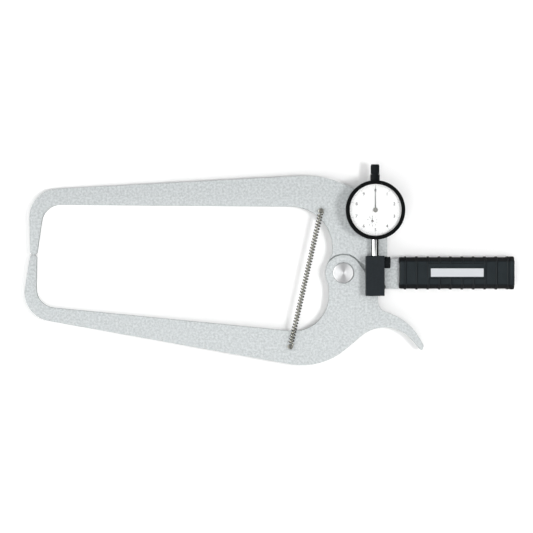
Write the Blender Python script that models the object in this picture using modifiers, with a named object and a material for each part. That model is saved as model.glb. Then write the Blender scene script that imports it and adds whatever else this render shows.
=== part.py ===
"""Outside dial caliper gauge with long jaws, modelled in metres.

The origin is the pivot axis at the rear end of the pivot screw. +X runs along the
grip, +Y from the moving arm to the fixed arm, and +Z out of the dial.
"""
import math

import bmesh
import bpy
import numpy as np
from mathutils import Matrix, Vector

# Clearances shared by the whole gauge
GAP = 0.0003
RUN_GAP = 0.0006
OVERRUN = 0.003
WELD = 0.00001
ARC_SAG = 0.0001
CHAMFER_STEP = math.radians(45)

# Measuring range
REACH = 0.300
CONTACT_Y = 0.0176
JAW_TRAVEL = 0.100
SPINDLE_TRAVEL = 0.010
OPEN_ANGLE = JAW_TRAVEL / REACH
SPINDLE_X = SPINDLE_TRAVEL / 2 / math.sin(OPEN_ANGLE / 2)
CONTACT_X = -math.sqrt(REACH**2 - CONTACT_Y**2)

# Arm plates and the lap joint at the hub
ARM_REAR = 0.0005
ARM_THICK = 0.008
ARM_FRONT = ARM_REAR + ARM_THICK
LAP = ARM_REAR + ARM_THICK / 2
HUB_R = 0.0176
RECESS_R = 0.0186
STOP_GAP = 0.0004
LOBE_TANGENT = math.radians(36.5)
STOP_MARGIN = math.radians(0.3)

# Jaw tips, from the contact point
NOSE_OUT_W = 0.0038
NOSE_IN_W = 0.0025
NOSE_R = 0.0028

# Fixed arm outline: leg, top bar, crown, shoulder and tang
UPPER_OUT_OVER = 0.0047
UPPER_OUT_Y = 0.0801
UPPER_OUT_R = 0.028
UPPER_IN_BACK = 0.0101
UPPER_IN_Y = 0.0661
UPPER_IN_R = 0.018
THROAT_X = 0.0105
THROAT_TOP_Y = 0.0640
THROAT_TOP_R = 0.040
FLARE_Y = 0.0195
FLARE_R = 0.015
FLARE_ANGLE = math.radians(150)
CROWN_X = 0.0212
CROWN_Y = 0.0950
CROWN_R = 0.082
SHOULDER_OVER = 0.0123
SHOULDER_Y = 0.0683
SHOULDER_R = 0.050
TANG_TOP_Y = 0.0135
TANG_BOTTOM_Y = 0.0153
TANG_CORE_HALF = 0.0095
TANG_CORE_R = 0.002

# Moving arm outline: leg, bottom bar, heel, finger notch and trigger
LOWER_OUT_OVER = 0.0128
LOWER_OUT_Y = 0.0416
LOWER_OUT_R = 0.028
LOWER_IN_BACK = 0.0016
LOWER_IN_Y = 0.0320
LOWER_IN_R = 0.0185
BELLY_X = 0.0140
BELLY_Y = 0.0598
BELLY_R = 0.034
WAIST_Y = 0.0130
WAIST_R = 0.006
WAIST_ANGLE = math.radians(205)
HEEL_X = 0.0212
HEEL_Y = 0.0937
HEEL_R = 0.064
NOTCH_OVER = 0.0105
NOTCH_Y = 0.0384
NOTCH_R = 0.035
TRIGGER_OVER = 0.0429
TRIGGER_Y = 0.0763
TRIGGER_W = 0.0059
TRIGGER_R = 0.0014
TRIGGER_BEND_OVER = 0.0308
TRIGGER_BEND_Y = 0.0460
TRIGGER_BEND_R = 0.054
TRIGGER_ROOT_Y = 0.0350
TRIGGER_ROOT_R = 0.011
PIN_TO_EDGE = 0.0054

# Pivot
PIVOT_HEAD_R = 0.0100
PIVOT_HEAD_T = 0.0022
PIVOT_HEAD_EDGE = 0.0004
PIVOT_SEAT_DEPTH = 0.0012
PIVOT_SEAT_GAP = 0.0004
PIVOT_SHANK_R = 0.0047
PIVOT_THREAD_R = 0.0040
SPOT_FACE_R = 0.0121
SPOT_FACE_DEPTH = 0.0002
BUSH_WALL = 0.0012
NUT_R = 0.0077
NUT_T = 0.0022
NUT_SLOT_W = 0.0018
NUT_SLOT_DEPTH = 0.0010

# Contact pin in the moving arm
PIN_MID_Y = -0.0100
PIN_R = 0.0020
PIN_SHANK_R = 0.0015

# Gauge block on the fixed arm, with its screws and the stem clamp
SPINDLE_Z = 0.0163
BLOCK_W = 0.0180
BLOCK_TOP_Y = 0.0163
BLOCK_BOTTOM_Y = -0.0222
BLOCK_FRONT = 0.0225
BLOCK_EDGE = 0.0004
POCKET_SIDE_GAP = 0.0006
BLOCK_SCREW_R = 0.0015
BLOCK_SCREW_SPREAD = 0.0063
BLOCK_SCREW_Y = 0.0126
BLOCK_SCREW_TOP = 0.0135
BLOCK_SCREW_HEAD_R = 0.00275
BLOCK_SCREW_HEAD_T = 0.0030
BLOCK_SCREW_KEY_R = 0.00145
BLOCK_SCREW_KEY_DEPTH = 0.0015
CLAMP_Y = 0.0100
CLAMP_R = 0.0020
CLAMP_HEAD_R = 0.0057
CLAMP_HEAD_T = 0.0055
CLAMP_KNURLS = 24
CLAMP_KNURL_DEPTH = 0.0003
CLAMP_PAD_R = 0.0017
CLAMP_PAD_T = 0.0017

# Spring posts and the tension spring
POST_UPPER = Vector((-0.0218, 0.0599))
POST_LOWER = Vector((-0.0515, -0.0712))
POST_R = 0.0013
POST_HEAD_R = 0.0021
POST_HEAD_T = 0.0010
POST_FOOT_R = 0.0022
POST_FOOT_T = 0.0010
POST_GRIP = 0.0055
POST_RISE = 0.0056
SPRING_WIRE_R = 0.00040
SPRING_COIL_R = 0.0023
SPRING_PITCH = 0.0046
SPRING_AXIS_UP = 0.0032
SPRING_NECK = 0.0040
SPRING_POINTS = 8
HOOK_POINTS = 11
HOOK_SWEEP = math.radians(215)
LEAST_COIL_GAP = 0.0004

# Grip
GRIP_OVER = 0.0239
GRIP_LENGTH = 0.1109
TANG_END_WALL = 0.0169
TANG_LENGTH = GRIP_LENGTH - TANG_END_WALL
GRIP_W = 0.0305
GRIP_T = 0.0210
GRIP_CORNER = 0.0043
GRIP_END_R = 0.0012
GRIP_START_X = SPINDLE_X + GRIP_OVER
GRIP_RIBS = 10
GRIP_RIB_PITCH = 0.0110
GRIP_RIB_FIRST = 0.0057
GRIP_RIB_W = 0.0022
GRIP_RIB_PROUD = 0.0008
PANEL_START = 0.0277
PANEL_LENGTH = 0.0556
PANEL_TOP_Y = 0.0095
PANEL_BOTTOM_Y = -0.0055
PANEL_PROUD = 0.0010
REST_PAD_HALF_W = 0.0080
PLATE_LENGTH = 0.0509
PLATE_W = 0.0081
PLATE_T = 0.0006
PLATE_Y = 0.0003
PLATE_SINK = 0.0004
PLATE_CORNER = 0.0006

# Dial gauge case, measured from the dial centre
DIAL_Y = 0.0605
CASE_R = 0.0260
CASE_WALL = 0.0025
CASE_REAR = 0.0117
CASE_RIM = 0.0244
CASE_EDGE = 0.0003
WIRE_GROOVE_Z = 0.0226
WIRE_GROOVE_W = 0.0011
WIRE_GROOVE_DEPTH = 0.0006
LUG_R = 0.0024
LUG_INSET = 0.0055
LUG_RING_R = CASE_R - LUG_INSET
LUG_TOP = 0.0189
LUGS = 4
LUG_TURN = math.radians(45)
SCREW_R = 0.0008
SCREW_HEAD_R = 0.0016
SCREW_HEAD_T = 0.0005
SCREW_SLOT_W = 0.0004
SCREW_SLOT_DEPTH = 0.00025
COVER_INSET = 0.0010
COVER_R = CASE_R - COVER_INSET
COVER_REAR = 0.0090
COVER_T = 0.0018
COVER_SEAT_DEPTH = 0.0010
COVER_SCREW_TOP = 0.0145
GASKET_W = 0.0012
GASKET_IN_R = COVER_R - GASKET_W
GASKET_T = 0.0003

# Stem, spindle and what they carry
STEM_R = 0.0035
STEM_END_Y = 0.0030
STEM_FLANGE_R = 0.0046
STEM_FLANGE_T = 0.0012
SPINDLE_R = 0.0020
SPINDLE_CUSHION = 0.0006
CONTACT_R = 0.0025
CONTACT_T = 0.0050
CONTACT_EDGE = 0.0004
STUD_R = 0.0010
STUD_LENGTH = 0.0040
COLLAR_R = 0.0046
COLLAR_GAP = 0.0004
COLLAR_LENGTH = 0.0082
COLLAR_SHANK_R = 0.0035
SPIGOT_R = 0.0030
SPIGOT_LENGTH = 0.0022
CAP_R = 0.0042
CAP_LENGTH = 0.0096
CAP_WALL = 0.0008
CAP_EDGE = 0.0008
GUIDE_R = 0.0007
GUIDE_UP = 0.0040
GUIDE_SINK = 0.0012
PEG_R = 0.0006
PEG_DOWN = 0.0040
PEG_LENGTH = 0.0040
ANCHOR_OUT = 0.0050
ANCHOR_INSET = 0.0040
ANCHOR_DOWN = CASE_R - CASE_WALL - ANCHOR_INSET
RETURN_WIRE_R = 0.00020
RETURN_COIL_R = 0.0012
RETURN_TURNS = 6.25
RETURN_NECK = 0.0022

# Movement: plates, pillars and the gear train
PLATE_SIDE_GAP = 0.0009
PLATE_R = CASE_R - CASE_WALL - PLATE_SIDE_GAP
REAR_PLATE = 0.0192
MOVEMENT_PLATE_T = 0.0010
FRONT_PLATE = 0.0230
FRONT_PLATE_T = 0.0008
PILLAR_R = 0.0017
PRESSURE = math.radians(25)
RACK_TEETH = 17
RACK_PINION_TEETH = 12
RACK_PITCH = SPINDLE_TRAVEL / RACK_PINION_TEETH
GEAR_TEETH = 80
CENTRE_TEETH = 8
TAKEUP_TEETH = 40
GEAR_SIDE_GAP = 0.0025
GEAR_MODULE = (PLATE_R + PLATE_SIDE_GAP - GEAR_SIDE_GAP) / (GEAR_TEETH + CENTRE_TEETH / 2)
ADDENDUM_SHARE = 0.85
DEDENDUM_SHARE = 1.25
THIN_SHARE = 0.16
FIRST_ARBOR_TURN = math.radians(255)
TAKEUP_ARBOR_TURN = math.radians(30)
ARBOR_R = 0.0006
CENTRE_ARBOR_R = 0.00045
ARBOR_HOLE_R = 0.0009
RACK_PINION_T = 0.0020
GEAR_Z = 0.0206
GEAR_T = 0.0008
CENTRE_SPARE = 0.0001
BRIDGE_Z = 0.0132
BRIDGE_T = 0.0008
BRIDGE_W = 0.0036
BRIDGE_FOOT_R = 0.0012
BRIDGE_FOOT_OUT = 0.0068
BRIDGE_SPREAD = 0.0040
HAIRSPRING_Z = 0.0221
HAIRSPRING_WIRE_R = 0.00010
HAIRSPRING_IN_R = 0.00135
HAIRSPRING_OUT_R = 0.0042
HAIRSPRING_TURNS = 3
HAIRSPRING_POINTS = 12
COLLET_R = 0.00095
COLLET_HALF = 0.0003
HAIRSPRING_STUD_R = 0.0005

# Dial, pointers, bezel and crystal
DIAL_Z = 0.0249
DIAL_T = 0.0004
DIAL_RING_W = 0.0099
DIAL_HOLE_R = 0.0012
DIAL_FOOT_R = 0.0006
DIAL_FOOT_OUT = 0.0130
DIAL_FOOT_UP = 0.0050
SMALL_HAND_Z = 0.0257
HAND_T = 0.0002
SMALL_HAND_LENGTH = 0.0042
SMALL_HAND_TAIL = 0.0018
SMALL_HAND_W = 0.0005
SMALL_HUB_R = 0.0011
SMALL_HUB_T = 0.0006
SMALL_HUB_HOLE_R = 0.0007
HAND_LIFT = 0.0002
POINTER_Z = 0.0265
POINTER_TIP_GAP = 0.0027
POINTER_W = 0.0011
POINTER_TIP_W = 0.0004
POINTER_HUB_R = 0.0023
POINTER_HUB_T = 0.0010
BEZEL_BOTTOM = 0.0210
BEZEL_TOP = 0.0300
BEZEL_FIT = 0.0004
BEZEL_SKIRT_IN_R = CASE_R + BEZEL_FIT
BEZEL_WALL = 0.0021
BEZEL_R = BEZEL_SKIRT_IN_R + BEZEL_WALL
BEZEL_LEDGE_W = 0.0008
BEZEL_CAVITY_R = BEZEL_SKIRT_IN_R + BEZEL_LEDGE_W
BEZEL_LEDGE = 0.0246
BEZEL_LIP_W = 0.0024
BEZEL_LIP_R = BEZEL_CAVITY_R - BEZEL_LIP_W
BEZEL_LIP_T = 0.0006
BEZEL_BEVEL = 0.0005
BEZEL_EDGE = 0.0005
DIAL_OUT_R = BEZEL_CAVITY_R - GAP
DIAL_SPLIT_R = DIAL_OUT_R - DIAL_RING_W
POINTER_LENGTH = BEZEL_LIP_R - POINTER_TIP_GAP
CRYSTAL_T = 0.0012
CRYSTAL_GASKET_W = 0.0009
BEZEL_WIRE_R = 0.00035
BEZEL_WIRE_OPEN = math.radians(24)
BEZEL_WIRE_POINTS = 38

# Facets of the turned pieces, and the angle that keeps an edge sharp
SHARP_ANGLE = math.radians(40)
FACETS_BIG = 40
FACETS_MID = 28
FACETS_SMALL = 16
FACETS_TINY = 8

COLORS = {
    "hammer_paint": ((0.61, 0.64, 0.65), 0.45, 0.55),
    "turned_steel": ((0.78, 0.79, 0.80), 0.25, 1.0),
    "black_oxide": ((0.025, 0.028, 0.032), 0.40, 0.4),
    "black_grip": ((0.018, 0.022, 0.024), 0.55, 0.0),
    "label_aluminium": ((0.60, 0.61, 0.64), 0.35, 0.9),
    "spring_steel": ((0.42, 0.41, 0.38), 0.35, 1.0),
    "chrome": ((0.80, 0.80, 0.81), 0.12, 1.0),
    "brass": ((0.72, 0.52, 0.22), 0.30, 1.0),
    "black_bezel": ((0.012, 0.013, 0.014), 0.35, 0.3),
    "rubber": ((0.02, 0.02, 0.02), 0.80, 0.0),
    "dial_white": ((0.90, 0.91, 0.91), 0.55, 0.0),
    "pointer_black": ((0.10, 0.10, 0.10), 0.45, 0.2),
    "crystal": ((0.95, 0.97, 0.98), 0.05, 0.0),
}


def clear_scene():
    for obj in list(bpy.data.objects):
        bpy.data.objects.remove(obj, do_unlink=True)


def new_collection(name):
    made = bpy.data.collections.new(name)
    bpy.context.scene.collection.children.link(made)
    return made


def finish(name):
    """The material of this name, made the first time it is asked for."""
    found = bpy.data.materials.get(name)
    if found:
        return found
    color, roughness, metallic = COLORS[name]
    found = bpy.data.materials.new(name)
    found.use_nodes = True
    shader = found.node_tree.nodes["Principled BSDF"]
    shader.inputs["Base Color"].default_value = (*color, 1)
    shader.inputs["Roughness"].default_value = roughness
    shader.inputs["Metallic"].default_value = metallic
    return found


def axis(name, place, turn=(0, 0, 0)):
    """An empty that marks an axis of the gauge, which its pieces are parented to."""
    made = bpy.data.objects.new(name, None)
    made.location = place
    made.rotation_euler = turn
    PIECES.objects.link(made)
    return made


def add(name, data, material, parent=None, place=(0, 0, 0), turn=0):
    """One named piece, on its axis. Without a material it is a cutter."""
    made = bpy.data.objects.new(name, data)
    made.location = place
    made.rotation_euler = (0, 0, turn)
    made.parent = parent
    if material is None:
        CUTTERS.objects.link(made)
        made.hide_render = True
        made.display_type = "WIRE"
        return made
    PIECES.objects.link(made)
    data.materials.append(finish(material))
    return made


def combine(piece, cutter, operation="DIFFERENCE"):
    change = piece.modifiers.new(cutter.name, "BOOLEAN")
    change.object = cutter
    change.operation = operation
    change.solver = "EXACT"


def polar(radius, angle):
    return Vector((radius * math.cos(angle), radius * math.sin(angle)))


def turned_by(point, angle):
    return Matrix.Rotation(angle, 2) @ Vector(point[:2])


def arc_count(radius, sweep, step=None):
    """How many chords an arc takes, so that none of them strays from it by more than the sag."""
    step = step or 2 * math.acos(1 - ARC_SAG / radius)
    return max(2, math.ceil(round(abs(sweep) / step, 3)))


def arc(centre, radius, start, end):
    """Points along an arc, both ends included."""
    count = arc_count(radius, end - start)
    return [Vector(centre) + polar(radius, start + (end - start) * i / count) for i in range(count + 1)]


def circle(radius, centre=(0, 0), facets=FACETS_SMALL):
    return [Vector(centre) + polar(radius, math.tau * i / facets) for i in range(facets)]


def rounded(corners, step=None):
    """An outline from its corners, each (point, radius), with every corner rounded by an arc."""
    points = []
    for i, (corner, radius) in enumerate(corners):
        corner = Vector(corner)
        if not radius:
            points.append(corner)
            continue
        before = (Vector(corners[i - 1][0]) - corner).normalized()
        after = (Vector(corners[(i + 1) % len(corners)][0]) - corner).normalized()
        half = before.angle(after) / 2
        centre = corner + (before + after).normalized() * radius / math.sin(half)
        first = corner + before * radius / math.tan(half) - centre
        last = corner + after * radius / math.tan(half) - centre
        sweep = first.angle_signed(last)
        count = arc_count(radius, sweep, step)
        points += [centre + turned_by(first, -sweep * k / count) for k in range(count + 1)]
    return points


def box_outline(half_x, half_y, corner, centre=(0, 0), step=None):
    x, y = centre
    turns = [(-1, -1), (1, -1), (1, 1), (-1, 1)]
    return rounded([((x + half_x * across, y + half_y * up), corner) for across, up in turns], step)


def signed_area(points):
    return sum(a.x * b.y - b.x * a.y for a, b in zip(points, points[1:] + points[:1])) / 2


def plate(name, loops, low, high, edge=0):
    """A flat plate between two heights, as a 2D curve: the first loop is its outline, the rest holes."""
    curve = bpy.data.curves.new(name, "CURVE")
    curve.dimensions = "2D"
    curve.fill_mode = "BOTH"
    curve.extrude = (high - low) / 2 - edge
    curve.bevel_depth = edge
    curve.offset = -edge
    curve.bevel_resolution = 0
    for index, loop in enumerate(loops):
        loop = [Vector(p[:2]) for p in loop]
        if (signed_area(loop) > 0) == bool(index):
            loop.reverse()
        spline = curve.splines.new("POLY")
        spline.points.add(len(loop) - 1)
        for point, there in zip(spline.points, loop):
            point.co = (there.x, there.y, 0, 1)
        spline.use_cyclic_u = True
    return curve, (low + high) / 2


def settled(holder):
    """The mesh that an object evaluates to, welded, with its round sides shaded smooth."""
    bpy.context.view_layer.update()
    graph = bpy.context.evaluated_depsgraph_get()
    mesh = bpy.data.meshes.new_from_object(holder.evaluated_get(graph))
    work = bmesh.new()
    work.from_mesh(mesh)
    bmesh.ops.remove_doubles(work, verts=work.verts, dist=WELD)
    work.to_mesh(mesh)
    work.free()
    mesh.shade_smooth()
    mesh.set_sharp_from_angle(angle=SHARP_ANGLE)
    return mesh


def plate_mesh(name, loops, low, high, edge=0):
    """The same plate as a welded mesh, for a piece that is cut or a cutter."""
    curve, middle = plate(name, loops, low, high, edge)
    holder = bpy.data.objects.new(name, curve)
    PIECES.objects.link(holder)
    mesh = settled(holder)
    mesh.transform(Matrix.Translation((0, 0, middle)))
    bpy.data.objects.remove(holder)
    bpy.data.curves.remove(curve)
    mesh.name = name
    return mesh


def add_plate(name, loops, low, high, material, parent=None, place=(0, 0, 0), turn=0):
    curve, middle = plate(name, loops, low, high)
    x, y, z = place
    return add(name, curve, material, parent, (x, y, z + middle), turn)


def solid(name, shapes):
    """A mesh of boxes, each (low, high), and cylinders, each (x, y, radius, low, high), that lie apart."""
    work = bmesh.new()
    for shape in shapes:
        if len(shape) == 2:
            low, high = Vector(shape[0]), Vector(shape[1])
            size = Matrix.Diagonal((*(high - low), 1))
            bmesh.ops.create_cube(work, size=1, matrix=Matrix.Translation((low + high) / 2) @ size)
            continue
        x, y, radius, low, high = shape
        bmesh.ops.create_cone(
            work, cap_ends=True, segments=FACETS_SMALL if radius > SPINDLE_R else FACETS_TINY,
            radius1=radius, radius2=radius, depth=high - low,
            matrix=Matrix.Translation((x, y, (low + high) / 2)),
        )
    mesh = bpy.data.meshes.new(name)
    work.to_mesh(mesh)
    work.free()
    return mesh


def turned(name, profile, material, parent=None, facets=FACETS_SMALL, place=(0, 0, 0)):
    """A turned piece. The (radius, height) points of its profile run down the outer side."""
    mesh = bpy.data.meshes.new(name)
    closed = profile[0][0] > 0 or profile[-1][0] > 0
    edges = [(i, i + 1) for i in range(len(profile) - 1)]
    if closed:
        edges.append((len(profile) - 1, 0))
    mesh.from_pydata([(radius, 0, height) for radius, height in profile], edges, [])
    piece = add(name, mesh, material, parent, place)
    screw = piece.modifiers.new("turn", "SCREW")
    screw.steps = facets
    screw.render_steps = facets
    screw.use_merge_vertices = True
    screw.merge_threshold = WELD
    piece.data = settled(piece)
    piece.modifiers.remove(screw)
    return piece


def pin(radius, low, high):
    """The profile of a plain turned pin."""
    return [(0, high), (radius, high), (radius, low), (0, low)]


def repeated(name, profile, material, places, parent=None, facets=FACETS_TINY):
    """The same turned piece at each place, numbered from 1."""
    return [
        turned(f"{name}_{number}", profile, material, parent, facets, (*place, 0))
        for number, place in enumerate(places, 1)
    ]


def merged(name, meshes):
    """One mesh of several meshes that lie apart."""
    work = bmesh.new()
    for mesh in meshes:
        work.from_mesh(mesh)
        bpy.data.meshes.remove(mesh)
    joined = bpy.data.meshes.new(name)
    work.to_mesh(joined)
    work.free()
    return joined


def wire(name, points, radius, material, parent=None, sides=1):
    """A wire as a tube along its points, with filled caps."""
    curve = bpy.data.curves.new(name, "CURVE")
    curve.dimensions = "3D"
    curve.bevel_depth = radius
    curve.bevel_resolution = sides
    curve.use_fill_caps = True
    spline = curve.splines.new("POLY")
    spline.points.add(len(points) - 1)
    for point, there in zip(spline.points, points):
        point.co = (*there, 1)
    return add(name, curve, material, parent)


def fixed_arm_outline():
    nose_left = CONTACT_X - NOSE_OUT_W
    nose_right = CONTACT_X + NOSE_IN_W
    grip_end_x = GRIP_START_X - GAP + TANG_LENGTH
    bottom_x = math.sqrt(HUB_R**2 - TANG_BOTTOM_Y**2)
    corners = [
        ((nose_left, CONTACT_Y + GAP / 2), NOSE_R),
        ((nose_right, CONTACT_Y + GAP / 2), NOSE_R),
        ((UPPER_IN_BACK - REACH, UPPER_IN_Y), UPPER_IN_R),
        ((-THROAT_X, THROAT_TOP_Y), THROAT_TOP_R),
        ((-THROAT_X, FLARE_Y), FLARE_R),
    ]
    hub = arc((0, 0), HUB_R, FLARE_ANGLE, 3 * math.pi / 2 + math.asin(bottom_x / HUB_R))
    corners += [(point, 0) for point in hub]
    shoulder_x = GRIP_START_X - GAP
    corners += [
        ((shoulder_x, -TANG_BOTTOM_Y), 0),
        ((shoulder_x, -TANG_CORE_HALF), 0),
        ((grip_end_x, -TANG_CORE_HALF), TANG_CORE_R),
        ((grip_end_x, TANG_CORE_HALF), TANG_CORE_R),
        ((shoulder_x, TANG_CORE_HALF), 0),
        ((shoulder_x, TANG_TOP_Y), 0),
        ((SPINDLE_X + SHOULDER_OVER, TANG_TOP_Y), 0),
        ((SPINDLE_X + SHOULDER_OVER, SHOULDER_Y), SHOULDER_R),
        ((-CROWN_X, CROWN_Y), CROWN_R),
        ((-REACH - UPPER_OUT_OVER, UPPER_OUT_Y), UPPER_OUT_R),
    ]
    return corners


def contact_pin_place():
    """The pin's place at rest. Half way through the opening it stands under the spindle."""
    return turned_by((SPINDLE_X, PIN_MID_Y), -OPEN_ANGLE / 2)


def moving_edge_x():
    return contact_pin_place().x + PIN_TO_EDGE


def moving_arm_corner():
    """Where the lobe's straight edge meets the right edge of the moving arm."""
    start = polar(HUB_R, LOBE_TANGENT)
    along = Vector((math.sin(LOBE_TANGENT), -math.cos(LOBE_TANGENT)))
    return start + along * (moving_edge_x() - start.x) / along.x


def moving_arm_outline():
    edge = moving_edge_x()
    nose_left = CONTACT_X - NOSE_OUT_W
    nose_right = CONTACT_X + NOSE_IN_W
    corners = [
        ((nose_right, CONTACT_Y - GAP / 2), NOSE_R),
        ((nose_left, CONTACT_Y - GAP / 2), NOSE_R),
        ((-REACH - LOWER_OUT_OVER, -LOWER_OUT_Y), LOWER_OUT_R),
        ((-HEEL_X, -HEEL_Y), HEEL_R),
        ((edge + NOTCH_OVER, -NOTCH_Y), NOTCH_R),
        ((edge + TRIGGER_OVER, -TRIGGER_Y), TRIGGER_R),
        ((edge + TRIGGER_OVER + TRIGGER_R, -TRIGGER_Y + TRIGGER_W), TRIGGER_R),
        ((edge + TRIGGER_BEND_OVER, -TRIGGER_BEND_Y), TRIGGER_BEND_R),
        ((edge, -TRIGGER_ROOT_Y), TRIGGER_ROOT_R),
        (moving_arm_corner(), NOSE_R),
    ]
    hub = arc((0, 0), HUB_R, LOBE_TANGENT, WAIST_ANGLE)
    corners += [(point, 0) for point in hub]
    corners += [
        ((-BELLY_X, -WAIST_Y), WAIST_R),
        ((-BELLY_X, -BELLY_Y), BELLY_R),
        ((CONTACT_X + LOWER_IN_BACK, -LOWER_IN_Y), LOWER_IN_R),
    ]
    return corners


def front_recess_outline():
    """What the front half of the hub clears in the fixed arm, over the whole opening."""
    limit = LOBE_TANGENT + OPEN_ANGLE + STOP_MARGIN
    stop_r = HUB_R + STOP_GAP
    meet = limit - math.acos(stop_r / RECESS_R)
    corner = turned_by(moving_arm_corner(), OPEN_ANGLE)
    root = turned_by((moving_edge_x(), -TRIGGER_ROOT_Y), OPEN_ANGLE)
    bend = turned_by((moving_edge_x() + TRIGGER_BEND_OVER, -TRIGGER_BEND_Y), OPEN_ANGLE)
    side = (root - corner).normalized()
    outward = Vector((-side.y, side.x)) * RUN_GAP
    slope = (bend - root).normalized()
    upward = Vector((-slope.y, slope.x)) * RUN_GAP
    crook = root + (outward + upward) / (1 + outward.dot(upward) / RUN_GAP**2)
    along = Vector((math.sin(limit), -math.cos(limit)))
    outside = polar(stop_r, limit) + along * (corner + outward - polar(stop_r, limit)).dot(along)
    points = arc((0, 0), RECESS_R, meet, math.pi + LOBE_TANGENT)
    far = HUB_R + TANG_BOTTOM_Y + OVERRUN
    corners = [(point, 0) for point in points]
    corners += [
        ((-far, -far), 0),
        ((bend.x, -far), 0),
        (bend + upward, 0),
        (crook, TRIGGER_ROOT_R - RUN_GAP),
        (outside + side * RUN_GAP, RUN_GAP),
        (outside, RUN_GAP),
    ]
    return rounded(corners)


def rear_recess_outline():
    """What the rear half of the hub and the tang clear in the moving arm, over the whole opening."""
    low = -math.pi / 2 - OPEN_ANGLE
    floor_r = TANG_BOTTOM_Y + RUN_GAP
    meet = low + math.acos(floor_r / RECESS_R)
    along = polar(1, -OPEN_ANGLE)
    far = SPINDLE_X + SHOULDER_OVER + OVERRUN
    points = arc((0, 0), RECESS_R, math.pi / 2, math.tau + meet)
    points += [polar(floor_r, low) + along * far, Vector((far, RECESS_R))]
    return points


def make_arms():
    screw_places = [(SPINDLE_X + side * BLOCK_SCREW_SPREAD, BLOCK_SCREW_Y) for side in (-1, 1)]
    holes = [circle(PIVOT_SHANK_R + GAP, facets=FACETS_MID), circle(POST_R + GAP, POST_UPPER, FACETS_TINY)]
    holes += [circle(BLOCK_SCREW_R + GAP, place) for place in screw_places]
    loops = [rounded(fixed_arm_outline())] + holes
    fixed = add("fixed_arm", plate_mesh("fixed_arm", loops, ARM_REAR, ARM_FRONT), "hammer_paint")
    recess = plate_mesh("hub_recess", [front_recess_outline()], LAP - GAP / 2, ARM_FRONT + OVERRUN)
    combine(fixed, add("hub_recess", recess, None))
    seats = [(0, 0, NUT_R + GAP, ARM_REAR - OVERRUN, NUT_T + GAP)]
    seats += [
        (x, y, BLOCK_SCREW_HEAD_R + GAP, ARM_REAR - OVERRUN, ARM_REAR + BLOCK_SCREW_HEAD_T + GAP)
        for x, y in screw_places
    ]
    combine(fixed, add("rear_seats", solid("rear_seats", seats), None))

    pin = contact_pin_place()
    holes = [
        circle(PIVOT_SHANK_R + GAP + BUSH_WALL + GAP, facets=FACETS_MID),
        circle(POST_R + GAP, POST_LOWER, FACETS_TINY),
        circle(PIN_SHANK_R + GAP, pin, FACETS_TINY),
    ]
    loops = [rounded(moving_arm_outline())] + holes
    moving = add(
        "moving_arm", plate_mesh("moving_arm", loops, ARM_REAR, ARM_FRONT), "hammer_paint", PIVOT
    )
    recess = plate_mesh("tang_recess", [rear_recess_outline()], ARM_REAR - OVERRUN, LAP + GAP / 2)
    combine(moving, add("tang_recess", recess, None, PIVOT))
    top = ARM_FRONT + OVERRUN
    seat_r = PIVOT_HEAD_R + PIVOT_SEAT_GAP
    seat = turned(
        "pivot_seat",
        [
            (0, top), (SPOT_FACE_R, top), (SPOT_FACE_R, ARM_FRONT - SPOT_FACE_DEPTH),
            (seat_r, ARM_FRONT - SPOT_FACE_DEPTH), (seat_r, ARM_FRONT - PIVOT_SEAT_DEPTH),
            (0, ARM_FRONT - PIVOT_SEAT_DEPTH),
        ],
        None, PIVOT, FACETS_BIG,
    )
    combine(moving, seat)


def make_pivot():
    head = ARM_FRONT - PIVOT_SEAT_DEPTH + GAP
    turned(
        "pivot_screw",
        [
            (0, head + PIVOT_HEAD_T), (PIVOT_HEAD_R - PIVOT_HEAD_EDGE, head + PIVOT_HEAD_T),
            (PIVOT_HEAD_R, head + PIVOT_HEAD_T - PIVOT_HEAD_EDGE), (PIVOT_HEAD_R, head),
            (PIVOT_SHANK_R, head), (PIVOT_SHANK_R, NUT_T + GAP), (PIVOT_THREAD_R, NUT_T + GAP),
            (PIVOT_THREAD_R, 0), (0, 0),
        ],
        "turned_steel", None, FACETS_MID,
    )
    bush_in = PIVOT_SHANK_R + GAP
    bush_out = bush_in + BUSH_WALL
    turned(
        "pivot_bush",
        [
            (bush_out, head - GAP), (bush_out, LAP + GAP / 2),
            (bush_in, LAP + GAP / 2), (bush_in, head - GAP),
        ],
        "brass", PIVOT, FACETS_MID,
    )
    nut_in = PIVOT_THREAD_R + GAP
    ring = [(NUT_R, NUT_T), (NUT_R, 0), (nut_in, 0), (nut_in, NUT_T)]
    nut = turned("pivot_nut", ring, "turned_steel", None, FACETS_MID)
    slot = (nut_in + NUT_R) / 2
    slots = [((slot, -NUT_SLOT_W / 2, -OVERRUN), (NUT_R + OVERRUN, NUT_SLOT_W / 2, NUT_SLOT_DEPTH))]
    slots.append(((-NUT_R - OVERRUN, -NUT_SLOT_W / 2, -OVERRUN), (-slot, NUT_SLOT_W / 2, NUT_SLOT_DEPTH)))
    combine(nut, add("nut_slots", solid("nut_slots", slots), None))


def make_contact_pin():
    x, y = contact_pin_place()
    tip = SPINDLE_Z + CONTACT_R
    foot = ARM_FRONT + GAP
    turned(
        "contact_pin",
        [
            (0, tip), (PIN_R - CONTACT_EDGE, tip), (PIN_R, tip - CONTACT_EDGE), (PIN_R, foot),
            (PIN_SHANK_R, foot), (PIN_SHANK_R, LAP + GAP), (0, LAP + GAP),
        ],
        "turned_steel", PIVOT, FACETS_SMALL, (x, y, 0),
    )


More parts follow.
